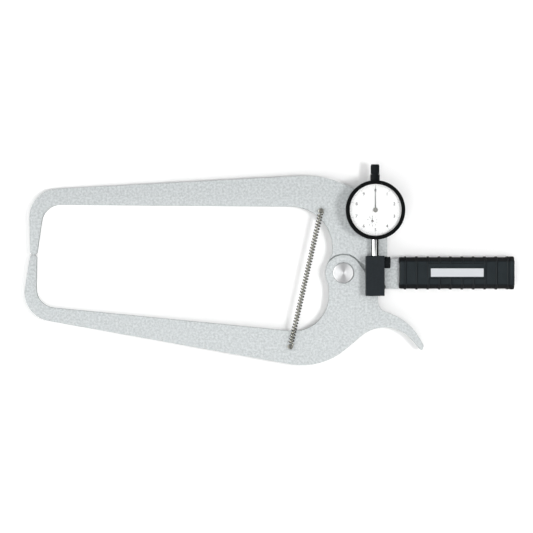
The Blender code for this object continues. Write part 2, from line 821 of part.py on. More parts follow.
def make_block():
    left = SPINDLE_X - BLOCK_W / 2
    right = SPINDLE_X + BLOCK_W / 2
    rear = ARM_FRONT + GAP
    block = add(
        "gauge_block",
        solid("gauge_block", [((left, BLOCK_BOTTOM_Y, rear), (right, BLOCK_TOP_Y, BLOCK_FRONT))]),
        "black_oxide",
    )
    edge = block.modifiers.new("edge", "BEVEL")
    edge.width = BLOCK_EDGE
    edge.segments = 1
    start_x, start_y = contact_pin_place()
    end_x, end_y = turned_by((start_x, start_y), OPEN_ANGLE)
    side_r = PIN_R + POCKET_SIDE_GAP
    low = (min(start_x - side_r, SPINDLE_X - CONTACT_R - POCKET_SIDE_GAP), start_y - side_r, rear - OVERRUN)
    high = (max(end_x, SPINDLE_X) + side_r, end_y + side_r, SPINDLE_Z + CONTACT_R + POCKET_SIDE_GAP)
    combine(block, add("pin_pocket", solid("pin_pocket", [(low, high)]), None))
    bore = [(0, 0, STEM_R + GAP, end_y, BLOCK_TOP_Y + OVERRUN)]
    combine(block, add("stem_bore", solid("stem_bore", bore), None, SPINDLE))
    clamp_hole = [(0, 0, CLAMP_R + GAP, SPINDLE_X + STEM_R / 2, right + OVERRUN)]
    combine(block, add("clamp_hole", solid("clamp_hole", clamp_hole), None, CLAMP))
    places = [SPINDLE_X + side * BLOCK_SCREW_SPREAD for side in (-1, 1)]
    holes = [(x, BLOCK_SCREW_Y, BLOCK_SCREW_R + GAP, rear - OVERRUN, BLOCK_SCREW_TOP + GAP) for x in places]
    combine(block, add("screw_holes", solid("screw_holes", holes), None))

    head_top = ARM_REAR + BLOCK_SCREW_HEAD_T
    profile = [
        (0, BLOCK_SCREW_TOP), (BLOCK_SCREW_R, BLOCK_SCREW_TOP), (BLOCK_SCREW_R, head_top),
        (BLOCK_SCREW_HEAD_R, head_top), (BLOCK_SCREW_HEAD_R, ARM_REAR), (0, ARM_REAR),
    ]
    spots = [(x, BLOCK_SCREW_Y) for x in places]
    screws = repeated("block_screw", profile, "black_oxide", spots, None, FACETS_SMALL)
    key_top = ARM_REAR + BLOCK_SCREW_KEY_DEPTH
    keys = [
        plate_mesh("key", [circle(BLOCK_SCREW_KEY_R, spot, 6)], ARM_REAR - OVERRUN, key_top)
        for spot in spots
    ]
    sockets = add("key_sockets", merged("key_sockets", keys), None)
    for screw in screws:
        combine(screw, sockets)


def make_clamp():
    """The thumb screw and its pad, along the clamp axis, where heights are distances along +X."""
    pad_start = SPINDLE_X + STEM_R + GAP
    tip = pad_start + CLAMP_PAD_T + GAP
    face = SPINDLE_X + BLOCK_W / 2 + GAP
    flutes = [
        polar(CLAMP_HEAD_R - (k % 2) * CLAMP_KNURL_DEPTH, math.pi * k / CLAMP_KNURLS)
        for k in range(2 * CLAMP_KNURLS)
    ]
    end = face + CLAMP_HEAD_T
    screw = add("clamp_screw", plate_mesh("clamp_screw", [flutes], face, end), "black_oxide", CLAMP)
    shank = solid("clamp_shank", [(0, 0, CLAMP_R, tip, face + CLAMP_HEAD_T / 2)])
    combine(screw, add("clamp_shank", shank, None, CLAMP), "UNION")
    turned("clamp_pad", pin(CLAMP_PAD_R, pad_start, pad_start + CLAMP_PAD_T), "brass", CLAMP)


def make_spring_posts():
    foot = ARM_FRONT + GAP
    top = ARM_FRONT + POST_RISE
    for name, place, parent in (
        ("fixed_spring_post", POST_UPPER, None), ("moving_spring_post", POST_LOWER, PIVOT),
    ):
        turned(
            name,
            [
                (0, top), (POST_HEAD_R, top), (POST_HEAD_R, top - POST_HEAD_T), (POST_R, top - POST_HEAD_T),
                (POST_R, foot + POST_FOOT_T), (POST_FOOT_R, foot + POST_FOOT_T), (POST_FOOT_R, foot),
                (POST_R, foot), (POST_R, ARM_FRONT - POST_GRIP), (0, ARM_FRONT - POST_GRIP),
            ],
            "turned_steel", parent, FACETS_TINY, (*place, 0),
        )


def spring_path(start, end, start_post, end_post, hook_r, coil_r, neck, turns, hook_points):
    """A hooked tension spring as one wire: a hook round each post, and the coil between them."""
    along = (end - start).normalized()
    side = start_post.cross(along).normalized()
    rise = along.cross(side)
    length = (end - start).length - 2 * neck
    steps = round(turns * SPRING_POINTS)
    points = []
    for k in range(hook_points, 0, -1):
        angle = HOOK_SWEEP * k / hook_points
        points.append(start + (side * math.cos(angle) - along * math.sin(angle)) * hook_r)
    for k in range(steps + 1):
        angle = math.tau * turns * k / steps
        around = side * math.cos(angle) + rise * math.sin(angle)
        points.append(start + along * (neck + length * k / steps) + around * coil_r)
    side = end_post.cross(along).normalized()
    for k in range(1, hook_points + 1):
        angle = HOOK_SWEEP * k / hook_points
        points.append(end + (side * math.cos(angle) + along * math.sin(angle)) * hook_r)
    return points


def check_coil(name, points, radius):
    """Measures the gap between stretches of one wire that lie more than half a turn apart along it."""
    there = np.array([tuple(point) for point in points])
    middles = (there[1:] + there[:-1]) / 2
    order = np.concatenate([np.arange(len(there)), np.arange(len(middles)) + 0.5])
    there = np.concatenate([there, middles])
    apart = np.linalg.norm(there[:, None] - there[None], axis=2)
    apart[np.abs(order[:, None] - order[None]) <= SPRING_POINTS / 2] = np.inf
    gap = float(apart.min()) - 2 * radius
    print(name, "least gap to itself, m:", round(gap, 6))
    if gap < LEAST_COIL_GAP:
        raise ValueError(name + " comes too near to itself")


def make_tension_spring():
    height = ARM_FRONT + SPRING_AXIS_UP
    upper = Vector((*POST_UPPER, height))
    lower = Vector((*POST_LOWER, height))
    hook_r = POST_R + GAP + SPRING_WIRE_R
    turns = round(((upper - lower).length - 2 * SPRING_NECK) / SPRING_PITCH)
    up = Vector((0, 0, 1))
    path = spring_path(upper, lower, up, up, hook_r, SPRING_COIL_R, SPRING_NECK, turns, HOOK_POINTS)
    check_coil("tension_spring", path, SPRING_WIRE_R)
    wire("tension_spring", path, SPRING_WIRE_R, "spring_steel")


def make_grip():
    """The grip sleeve, along the grip axis, where heights are distances along +X."""
    middle = ARM_REAR + ARM_THICK / 2
    end = GRIP_START_X + GRIP_LENGTH
    body = box_outline(GRIP_T / 2, GRIP_W / 2, GRIP_CORNER, step=CHAMFER_STEP)
    sleeve = plate_mesh("grip_sleeve", [body], GRIP_START_X, end, GRIP_END_R)
    grip = add("grip_sleeve", sleeve, "black_grip", GRIP)
    thick, wide = GRIP_T + 2 * GRIP_RIB_PROUD, GRIP_W + 2 * GRIP_RIB_PROUD
    rib = box_outline(thick / 2, wide / 2, GRIP_CORNER, step=CHAMFER_STEP)
    first = GRIP_START_X + GRIP_RIB_FIRST - GRIP_RIB_W / 2
    one = plate_mesh("grip_ribs", [rib], first, first + GRIP_RIB_W)
    ribs = add("grip_ribs", one, None, GRIP)
    row = ribs.modifiers.new("row", "ARRAY")
    row.count = GRIP_RIBS
    row.use_relative_offset = False
    row.use_constant_offset = True
    row.constant_offset_displace = (0, 0, GRIP_RIB_PITCH)
    combine(grip, ribs, "UNION")
    start = GRIP_START_X + PANEL_START
    front = middle + GRIP_T / 2
    rear = middle - GRIP_T / 2
    panel_top = front + PANEL_PROUD
    panel = [((start, PANEL_BOTTOM_Y, front - OVERRUN), (start + PANEL_LENGTH, PANEL_TOP_Y, panel_top))]
    combine(grip, add("label_panel", solid("label_panel", panel), None), "UNION")
    pad_low = (start, -REST_PAD_HALF_W, rear - PANEL_PROUD)
    pad = [(pad_low, (start + PANEL_LENGTH, REST_PAD_HALF_W, rear + OVERRUN))]
    combine(grip, add("rest_pad", solid("rest_pad", pad), None), "UNION")
    pocket_low = (GRIP_START_X - OVERRUN, -TANG_CORE_HALF - GAP, ARM_REAR - GAP)
    pocket_high = (GRIP_START_X + TANG_LENGTH, TANG_CORE_HALF + GAP, ARM_FRONT + GAP)
    combine(grip, add("tang_pocket", solid("tang_pocket", [(pocket_low, pocket_high)]), None))
    centre_x = start + PANEL_LENGTH / 2
    floor = panel_top - PLATE_SINK
    seat = box_outline(PLATE_LENGTH / 2 + GAP, PLATE_W / 2 + GAP, PLATE_CORNER, (centre_x, PLATE_Y))
    combine(grip, add("plate_seat", plate_mesh("plate_seat", [seat], floor, panel_top + OVERRUN), None))
    label = box_outline(PLATE_LENGTH / 2, PLATE_W / 2, PLATE_CORNER, (centre_x, PLATE_Y))
    add_plate("label_plate", [label], floor + GAP, floor + GAP + PLATE_T, "label_aluminium")


def lug_places():
    return [polar(LUG_RING_R, LUG_TURN + math.tau * k / LUGS) for k in range(LUGS)]


def make_case():
    groove_low = WIRE_GROOVE_Z - WIRE_GROOVE_W / 2
    groove_high = WIRE_GROOVE_Z + WIRE_GROOVE_W / 2
    inner = CASE_R - CASE_WALL
    case = turned(
        "gauge_case",
        [
            (CASE_R, CASE_RIM), (CASE_R, groove_high), (CASE_R - WIRE_GROOVE_DEPTH, groove_high),
            (CASE_R - WIRE_GROOVE_DEPTH, groove_low), (CASE_R, groove_low), (CASE_R, CASE_REAR + CASE_EDGE),
            (CASE_R - CASE_EDGE, CASE_REAR), (inner, CASE_REAR), (inner, CASE_RIM),
        ],
        "chrome", DIAL, FACETS_BIG,
    )
    lugs = []
    for k, place in enumerate(lug_places()):
        turn = LUG_TURN + math.tau * k / LUGS
        nose = arc(place, LUG_R, turn + math.pi / 2, turn + 3 * math.pi / 2)
        root = [p + polar(CASE_R - CASE_WALL / 2 - LUG_RING_R, turn) for p in (nose[-1], nose[0])]
        lugs.append(plate_mesh("lug", [nose + root], CASE_REAR + GAP, LUG_TOP))
    combine(case, add("case_lugs", merged("case_lugs", lugs), None, DIAL), "UNION")
    holes = [(p.x, p.y, SCREW_R + GAP, CASE_REAR - OVERRUN, LUG_TOP + OVERRUN) for p in lug_places()]
    combine(case, add("lug_holes", solid("lug_holes", holes), None, DIAL))
    reach = CASE_R + OVERRUN
    neck_hole = [(0, 0, STEM_R + GAP, DIAL_Y - reach, DIAL_Y + reach)]
    combine(case, add("neck_holes", solid("neck_holes", neck_hole), None, SPINDLE))

    cover_top = COVER_REAR + COVER_T
    cover_holes = [circle(SCREW_R + GAP, p, FACETS_TINY) for p in lug_places()]
    cover = add(
        "back_cover",
        plate_mesh("back_cover", [circle(COVER_R, facets=FACETS_BIG)] + cover_holes, COVER_REAR, cover_top),
        "chrome", DIAL,
    )
    seat_top = COVER_REAR + COVER_SEAT_DEPTH
    seats = [(p.x, p.y, SCREW_HEAD_R + GAP, COVER_REAR - OVERRUN, seat_top) for p in lug_places()]
    combine(cover, add("cover_seats", solid("cover_seats", seats), None, DIAL))
    ring = [circle(COVER_R, facets=FACETS_MID), circle(GASKET_IN_R, facets=FACETS_MID)]
    add_plate("cover_gasket", ring, cover_top + GAP, cover_top + GAP + GASKET_T, "rubber", DIAL)
    head_top = seat_top - GAP
    profile = [
        (0, COVER_SCREW_TOP), (SCREW_R, COVER_SCREW_TOP), (SCREW_R, head_top), (SCREW_HEAD_R, head_top),
        (SCREW_HEAD_R, head_top - SCREW_HEAD_T), (0, head_top - SCREW_HEAD_T),
    ]
    low = head_top - SCREW_HEAD_T
    reach, half = SCREW_HEAD_R + GAP, SCREW_SLOT_W / 2
    top = low + SCREW_SLOT_DEPTH
    boxes = [((x - reach, y - half, COVER_REAR), (x + reach, y + half, top)) for x, y in lug_places()]
    slots = add("cover_slots", solid("cover_slots", boxes), None, DIAL)
    for screw in repeated("cover_screw", profile, "turned_steel", lug_places(), DIAL):
        combine(screw, slots)


def make_stem():
    """Stem, collar and dust cap, along the spindle axis, where heights are distances along +Y."""
    inner = CASE_R - CASE_WALL
    flange = DIAL_Y - math.sqrt(inner**2 - STEM_FLANGE_R**2) + GAP
    bore = SPINDLE_R + GAP
    turned(
        "gauge_stem",
        [
            (STEM_FLANGE_R, flange + STEM_FLANGE_T), (STEM_FLANGE_R, flange), (STEM_R, flange),
            (STEM_R, STEM_END_Y + CONTACT_EDGE), (STEM_R - CONTACT_EDGE, STEM_END_Y),
            (bore, STEM_END_Y), (bore, flange + STEM_FLANGE_T),
        ],
        "chrome", SPINDLE,
    )
    start = DIAL_Y + CASE_R + COLLAR_GAP
    end = start + COLLAR_LENGTH
    turned(
        "top_collar",
        [
            (SPIGOT_R, end + SPIGOT_LENGTH), (SPIGOT_R, end), (COLLAR_R - CONTACT_EDGE, end),
            (COLLAR_R, end - CONTACT_EDGE), (COLLAR_R, start), (COLLAR_SHANK_R, start),
            (COLLAR_SHANK_R, DIAL_Y + inner - GAP), (bore, DIAL_Y + inner - GAP),
            (bore, end + SPIGOT_LENGTH),
        ],
        "black_oxide", SPINDLE,
    )
    base = end + GAP
    top = base + CAP_LENGTH
    hollow = SPIGOT_R + GAP
    turned(
        "dust_cap",
        [
            (0, top), (CAP_R - CAP_EDGE, top), (CAP_R, top - CAP_EDGE / 2), (CAP_R, base),
            (hollow, base), (hollow, top - CAP_WALL), (0, top - CAP_WALL),
        ],
        "black_oxide", SPINDLE,
    )
    return top - CAP_WALL


def make_spindle(cap_ceiling):
    tip = contact_pin_place().y + PIN_R + GAP
    shoulder = tip + CONTACT_T
    turned(
        "contact_point",
        [
            (0, shoulder + STUD_LENGTH), (STUD_R, shoulder + STUD_LENGTH), (STUD_R, shoulder),
            (CONTACT_R, shoulder), (CONTACT_R, tip + CONTACT_EDGE), (CONTACT_R - CONTACT_EDGE, tip),
            (0, tip),
        ],
        "turned_steel", SPINDLE,
    )
    low = shoulder + GAP
    top = cap_ceiling - SPINDLE_CUSHION - SPINDLE_TRAVEL
    stud_hole = STUD_R + GAP
    spindle = turned(
        "spindle",
        [
            (0, top), (SPINDLE_R, top), (SPINDLE_R, low), (stud_hole, low),
            (stud_hole, shoulder + STUD_LENGTH + GAP), (0, shoulder + STUD_LENGTH + GAP),
        ],
        "turned_steel", SPINDLE,
    )
    combine(spindle, add("rack_cut", rack_cutter(), None, DIAL))
    front = SPINDLE_Z + SPINDLE_R
    guide_hole = [(0, GUIDE_UP, GUIDE_R + GAP, front - GUIDE_SINK - GAP, front + OVERRUN)]
    combine(spindle, add("guide_hole", solid("guide_hole", guide_hole), None, DIAL))
    peg_hole = [(0, 0, PEG_R + GAP, SPINDLE_R - GUIDE_SINK - GAP, SPINDLE_R + OVERRUN)]
    combine(spindle, add("peg_hole", solid("peg_hole", peg_hole), None, PEG))
    guide = pin(GUIDE_R, front - GUIDE_SINK, GEAR_Z - RUN_GAP)
    turned("guide_pin", guide, "turned_steel", DIAL, FACETS_TINY, (0, GUIDE_UP, 0))
    peg = pin(PEG_R, SPINDLE_R - GUIDE_SINK, SPINDLE_R + PEG_LENGTH)
    turned("spring_peg", peg, "turned_steel", PEG, FACETS_TINY)


def rack_cutter():
    """What is milled off the left side of the spindle, so that the rack's teeth are left."""
    pitch_x = first_arbor_place().x + RACK_PITCH * RACK_PINION_TEETH / math.tau
    module = RACK_PITCH / math.pi
    tip_x = pitch_x - ADDENDUM_SHARE * module
    root_x = pitch_x + DEDENDUM_SHARE * module
    middle = first_arbor_place().y - SPINDLE_TRAVEL / 2
    half_tooth = RACK_PITCH / 4 * (1 - THIN_SHARE)
    slope = math.tan(PRESSURE)
    tip_half = half_tooth - (pitch_x - tip_x) * slope
    root_half = half_tooth + (root_x - pitch_x) * slope
    phase = (first_arbor_place().y - middle) / RACK_PITCH + 0.5
    phase -= math.floor(phase)
    points = []
    for k in range(-(RACK_TEETH // 2), RACK_TEETH // 2 + 1):
        y = middle + (k + phase) * RACK_PITCH
        points += [Vector((root_x, y - root_half)), Vector((tip_x, y - tip_half))]
        points += [Vector((tip_x, y + tip_half)), Vector((root_x, y + root_half))]
    outside = -SPINDLE_R - OVERRUN
    points += [Vector((outside, points[-1].y)), Vector((outside, points[0].y))]
    return plate_mesh("rack_cut", [points], SPINDLE_Z - SPINDLE_R - GAP, SPINDLE_Z + SPINDLE_R + GAP)


def first_arbor_place():
    return polar(GEAR_MODULE * (GEAR_TEETH + CENTRE_TEETH) / 2, FIRST_ARBOR_TURN)


def takeup_arbor_place():
    return polar(GEAR_MODULE * (TAKEUP_TEETH + CENTRE_TEETH) / 2, TAKEUP_ARBOR_TURN)


def gear_outline(teeth, module, phase, flank):
    """An involute spur gear's outline, with a tooth at the angle phase and so many points up each flank."""
    pitch_r = teeth * module / 2
    base_r = pitch_r * math.cos(PRESSURE)
    tip_r = pitch_r + ADDENDUM_SHARE * module
    root_r = pitch_r - DEDENDUM_SHARE * module
    start_r = max(root_r, base_r)
    half_pitch = math.pi / 2 / teeth * (1 - THIN_SHARE)
    involute = [math.tan(PRESSURE) - PRESSURE]
    half = []
    if root_r < base_r:
        half.append((root_r, half_pitch + involute[0]))
    for k in range(flank):
        radius = start_r + (tip_r - start_r) * k / (flank - 1)
        turn = math.acos(min(1, base_r / radius))
        half.append((radius, half_pitch + involute[0] - (math.tan(turn) - turn)))
    points = []
    for tooth in range(teeth):
        centre = phase + math.tau * tooth / teeth
        points += [polar(radius, centre - turn) for radius, turn in half]
        points += [polar(radius, centre + turn) for radius, turn in reversed(half)]
    return points


def plate_outline():
    """A movement plate: a disc with a flat that clears the stem's flange."""
    inner = CASE_R - CASE_WALL
    flat = math.sqrt(inner**2 - STEM_FLANGE_R**2) - GAP - STEM_FLANGE_T - GAP
    side = math.acos(flat / PLATE_R)
    sweep = math.tau - 2 * side
    return [polar(PLATE_R, side - math.pi / 2 + sweep * k / FACETS_MID) for k in range(FACETS_MID + 1)]


def slot_outline(low, high, half_w):
    return arc(low, half_w, math.pi, math.tau) + arc(high, half_w, 0, math.pi)


def make_movement():
    first = first_arbor_place()
    takeup = takeup_arbor_place()
    anchor = Vector((ANCHOR_OUT, -ANCHOR_DOWN))
    screw_holes = [circle(SCREW_R + GAP, p, FACETS_TINY) for p in lug_places()]
    rear_top = REAR_PLATE + MOVEMENT_PLATE_T
    slot = slot_outline((0, GUIDE_UP), (0, GUIDE_UP + SPINDLE_TRAVEL), GUIDE_R + GAP)
    holes = [circle(ARBOR_HOLE_R, first, FACETS_TINY), circle(ARBOR_HOLE_R, takeup, FACETS_TINY)]
    holes += [circle(CENTRE_ARBOR_R + GAP, facets=FACETS_TINY), circle(PEG_R + GAP, anchor, FACETS_TINY)]
    loops = [plate_outline(), slot] + screw_holes + holes
    add_plate("rear_plate", loops, REAR_PLATE, rear_top, "brass", DIAL)

    stud = takeup + hairspring_end()
    front_top = FRONT_PLATE + FRONT_PLATE_T
    holes = [circle(ARBOR_HOLE_R, p, FACETS_TINY) for p in (first, takeup)]
    holes += [circle(CENTRE_ARBOR_R + GAP, facets=FACETS_TINY)]
    holes += [circle(HAIRSPRING_STUD_R + GAP, stud, FACETS_TINY)]
    holes += [circle(DIAL_FOOT_R + GAP, p, FACETS_TINY) for p in dial_feet()]
    add_plate("front_plate", [plate_outline()] + screw_holes + holes, FRONT_PLATE, front_top, "brass", DIAL)

    places = lug_places()
    low, high = rear_top + GAP, FRONT_PLATE - GAP
    tube = [(PILLAR_R, high), (PILLAR_R, low), (SCREW_R + GAP, low), (SCREW_R + GAP, high)]
    repeated("movement_pillar", tube, "brass", places, DIAL)
    head = front_top + GAP
    tip = COVER_SCREW_TOP + 2 * GAP
    screw = [
        (0, head + SCREW_HEAD_T), (SCREW_HEAD_R, head + SCREW_HEAD_T), (SCREW_HEAD_R, head),
        (SCREW_R, head), (SCREW_R, tip), (0, tip),
    ]
    repeated("movement_screw", screw, "turned_steel", places, DIAL)
    make_return_spring(anchor, rear_top)
    make_bridge(first)


def make_return_spring(anchor, rear_top):
    post = pin(PEG_R, SPINDLE_Z - RETURN_COIL_R, rear_top)
    turned("return_spring_anchor", post, "turned_steel", DIAL, FACETS_TINY, (*anchor, 0))
    along_x = Vector((1, 0, 0))
    up = Vector((0, 0, 1))
    start = Vector((SPINDLE_X + ANCHOR_OUT, DIAL_Y - ANCHOR_DOWN, SPINDLE_Z))
    end = Vector((SPINDLE_X + ANCHOR_OUT, DIAL_Y - PEG_DOWN, SPINDLE_Z))
    hook_r = PEG_R + GAP + RETURN_WIRE_R
    points = HOOK_POINTS // 2
    path = spring_path(start, end, up, along_x, hook_r, RETURN_COIL_R, RETURN_NECK, RETURN_TURNS, points)
    check_coil("return_spring", path, RETURN_WIRE_R)
    wire("return_spring", path, RETURN_WIRE_R, "spring_steel", sides=0)


def make_bridge(first):
    bridge = [
        (first + Vector((BRIDGE_W / 2, -BRIDGE_W / 2)), BRIDGE_FOOT_R),
        (first + Vector((BRIDGE_W / 2, BRIDGE_W / 2)), BRIDGE_FOOT_R),
        (first + Vector((-BRIDGE_FOOT_OUT - BRIDGE_FOOT_R, BRIDGE_SPREAD + BRIDGE_FOOT_R)), BRIDGE_FOOT_R),
        (first + Vector((-BRIDGE_FOOT_OUT - BRIDGE_FOOT_R, -BRIDGE_SPREAD - BRIDGE_FOOT_R)), BRIDGE_FOOT_R),
    ]
    loops = [rounded(bridge), circle(ARBOR_HOLE_R, first, FACETS_TINY)]
    strap = plate_mesh("pinion_bridge", loops, BRIDGE_Z, BRIDGE_Z + BRIDGE_T)
    cock = add("pinion_bridge", strap, "brass", DIAL)
    legs = [
        (first.x - BRIDGE_FOOT_OUT, first.y + side * BRIDGE_SPREAD, BRIDGE_FOOT_R, BRIDGE_Z + BRIDGE_T / 2,
         REAR_PLATE - GAP)
        for side in (-1, 1)
    ]
    combine(cock, add("bridge_legs", solid("bridge_legs", legs), None, DIAL), "UNION")


def make_gear_train():
    arbor_base = BRIDGE_Z
    hub_top = SMALL_HAND_Z + SMALL_HUB_T
    pinion_low = SPINDLE_Z - RACK_PINION_T / 2
    module = RACK_PITCH / math.pi
    teeth = gear_outline(RACK_PINION_TEETH, module, 0, 2)
    pinion = add(
        "rack_pinion", plate_mesh("rack_pinion", [teeth], pinion_low, pinion_low + RACK_PINION_T),
        "turned_steel", FIRST,
    )
    tip = SMALL_HUB_HOLE_R - GAP
    waist = FRONT_PLATE + FRONT_PLATE_T
    arbor = turned(
        "first_arbor",
        [
            (0, hub_top - GAP), (tip, hub_top - GAP), (tip, waist), (ARBOR_R, waist),
            (ARBOR_R, arbor_base), (0, arbor_base),
        ],
        None, FIRST, FACETS_TINY,
    )
    combine(pinion, arbor, "UNION")
    bore = circle(ARBOR_R + GAP, facets=FACETS_TINY)
    for name, parent, count, turn in (
        ("first_gear", FIRST, GEAR_TEETH, FIRST_ARBOR_TURN),
        ("takeup_gear", TAKEUP, TAKEUP_TEETH, TAKEUP_ARBOR_TURN),
    ):
        teeth = gear_outline(count, GEAR_MODULE, turn + math.pi + math.pi / count, 2)
        add_plate(name, [teeth, bore], GEAR_Z, GEAR_Z + GEAR_T, "brass", parent)

    teeth = gear_outline(CENTRE_TEETH, GEAR_MODULE, FIRST_ARBOR_TURN, 3)
    low = GEAR_Z - CENTRE_SPARE
    centre = add(
        "centre_pinion", plate_mesh("centre_pinion", [teeth], low, GEAR_Z + GEAR_T + CENTRE_SPARE),
        "turned_steel", CENTRE,
    )
    shaft = [(0, 0, CENTRE_ARBOR_R, REAR_PLATE + GAP, POINTER_Z + POINTER_HUB_T - 2 * GAP)]
    combine(centre, add("centre_arbor", solid("centre_arbor", shaft), None, CENTRE), "UNION")

    top = FRONT_PLATE + FRONT_PLATE_T - GAP
    seat = HAIRSPRING_Z + COLLET_HALF
    turned(
        "takeup_arbor",
        [
            (0, top), (ARBOR_R, top), (ARBOR_R, seat), (COLLET_R, seat), (COLLET_R, seat - 2 * COLLET_HALF),
            (ARBOR_R, seat - 2 * COLLET_HALF), (ARBOR_R, REAR_PLATE + GAP), (0, REAR_PLATE + GAP),
        ],
        "turned_steel", TAKEUP, FACETS_TINY,
    )
    steps = HAIRSPRING_TURNS * HAIRSPRING_POINTS
    path = []
    for k in range(steps + 1):
        radius = HAIRSPRING_IN_R + (HAIRSPRING_OUT_R - HAIRSPRING_IN_R) * k / steps
        spot = polar(radius, TAKEUP_ARBOR_TURN + math.tau * HAIRSPRING_TURNS * k / steps)
        path.append((*spot, HAIRSPRING_Z))
    wire("hairspring", path, HAIRSPRING_WIRE_R, "spring_steel", TAKEUP, 0)
    post = pin(HAIRSPRING_STUD_R, HAIRSPRING_Z - GAP, top)
    turned("hairspring_stud", post, "turned_steel", TAKEUP, FACETS_TINY, (*hairspring_end(), 0))


def hairspring_end():
    """Where the stud stands that holds the outer end of the hairspring, from the take-up arbor."""
    reach = HAIRSPRING_OUT_R + HAIRSPRING_WIRE_R + GAP + HAIRSPRING_STUD_R
    return polar(reach, TAKEUP_ARBOR_TURN)


def dial_feet():
    return [Vector((DIAL_FOOT_OUT, -DIAL_FOOT_UP)), Vector((-DIAL_FOOT_OUT, DIAL_FOOT_UP))]


def make_dial():
    first = first_arbor_place()
    top = DIAL_Z + DIAL_T
    ring = [circle(DIAL_OUT_R, facets=FACETS_BIG), circle(DIAL_SPLIT_R + GAP / 2, facets=FACETS_BIG)]
    add_plate("outer_dial", ring, DIAL_Z, top, "dial_white", DIAL)
    loops = [circle(DIAL_SPLIT_R - GAP / 2, facets=FACETS_BIG), circle(DIAL_HOLE_R, facets=FACETS_TINY)]
    loops.append(circle(SMALL_HUB_HOLE_R + GAP, first, FACETS_TINY))
    inner = add("inner_dial", plate_mesh("inner_dial", loops, DIAL_Z, top), "dial_white", DIAL)
    feet = [(p.x, p.y, DIAL_FOOT_R, FRONT_PLATE + GAP, DIAL_Z + DIAL_T / 2) for p in dial_feet()]
    combine(inner, add("dial_feet", solid("dial_feet", feet), None, DIAL), "UNION")

    hand_hub = [
        (SMALL_HUB_R, SMALL_HAND_Z + SMALL_HUB_T), (SMALL_HUB_R, SMALL_HAND_Z),
        (SMALL_HUB_HOLE_R, SMALL_HAND_Z), (SMALL_HUB_HOLE_R, SMALL_HAND_Z + SMALL_HUB_T),
    ]
    make_hand(
        "small_pointer", hand_hub, FIRST, SMALL_HAND_Z + HAND_LIFT, SMALL_HAND_LENGTH,
        SMALL_HAND_TAIL, SMALL_HAND_W, SMALL_HAND_W / 2, SMALL_HUB_HOLE_R + GAP / 2,
    )
    hole = CENTRE_ARBOR_R + GAP
    hub_top = POINTER_Z + POINTER_HUB_T
    pointer_hub = [
        (0, hub_top), (POINTER_HUB_R, hub_top), (POINTER_HUB_R, POINTER_Z), (hole, POINTER_Z),
        (hole, hub_top - GAP), (0, hub_top - GAP),
    ]
    make_hand(
        "main_pointer", pointer_hub, CENTRE, POINTER_Z + HAND_LIFT, POINTER_LENGTH,
        0, POINTER_W, POINTER_TIP_W, hole + GAP / 2,
    )


def make_hand(name, hub_profile, parent, low, length, tail, root_w, tip_w, start):
    """A hand: its hub, with a tapered blade that starts just outside the hub's hole."""
    hub = turned(name, hub_profile, "pointer_black", parent, FACETS_SMALL)
    blade = [
        Vector((-root_w / 2, start)), Vector((root_w / 2, start)),
        Vector((tip_w / 2, length)), Vector((-tip_w / 2, length)),
    ]
    blades = [plate_mesh(name + "_blade", [blade], low, low + HAND_T)]
    if tail:
        back = [
            Vector((-root_w / 2, -tail)), Vector((root_w / 2, -tail)),
            Vector((root_w / 2, -start)), Vector((-root_w / 2, -start)),
        ]
        blades.append(plate_mesh(name + "_tail", [back], low, low + HAND_T))
    combine(hub, add(name + "_blade", merged(name + "_blade", blades), None, parent), "UNION")


def make_bezel():
    groove_low = WIRE_GROOVE_Z - WIRE_GROOVE_W / 2
    groove_high = WIRE_GROOVE_Z + WIRE_GROOVE_W / 2
    groove_r = BEZEL_SKIRT_IN_R + WIRE_GROOVE_DEPTH
    lip_low = BEZEL_TOP - BEZEL_LIP_T
    turned(
        "bezel",
        [
            (BEZEL_LIP_R + BEZEL_BEVEL, BEZEL_TOP), (BEZEL_R - BEZEL_EDGE, BEZEL_TOP),
            (BEZEL_R, BEZEL_TOP - BEZEL_EDGE), (BEZEL_R, BEZEL_BOTTOM), (BEZEL_SKIRT_IN_R, BEZEL_BOTTOM),
            (BEZEL_SKIRT_IN_R, groove_low), (groove_r, groove_low), (groove_r, groove_high),
            (BEZEL_SKIRT_IN_R, groove_high), (BEZEL_SKIRT_IN_R, BEZEL_LEDGE), (BEZEL_CAVITY_R, BEZEL_LEDGE),
            (BEZEL_CAVITY_R, lip_low), (BEZEL_LIP_R, lip_low),
        ],
        "black_bezel", DIAL, FACETS_BIG,
    )
    top = lip_low - GAP
    low = top - CRYSTAL_T
    rim = BEZEL_CAVITY_R - GAP
    turned("crystal", pin(rim, low, top), "crystal", DIAL, FACETS_BIG)
    gasket_in = rim - CRYSTAL_GASKET_W
    gasket_low = DIAL_Z + DIAL_T + GAP
    turned(
        "crystal_gasket",
        [(rim, low - GAP), (rim, gasket_low), (gasket_in, gasket_low), (gasket_in, low - GAP)],
        "rubber", DIAL, FACETS_BIG,
    )
    middle = (CASE_R + BEZEL_SKIRT_IN_R) / 2
    sweep = math.tau - BEZEL_WIRE_OPEN
    ring = [
        (*polar(middle, BEZEL_WIRE_OPEN / 2 + sweep * k / BEZEL_WIRE_POINTS), WIRE_GROOVE_Z)
        for k in range(BEZEL_WIRE_POINTS + 1)
    ]
    wire("bezel_wire", ring, BEZEL_WIRE_R, "spring_steel", DIAL, 0)


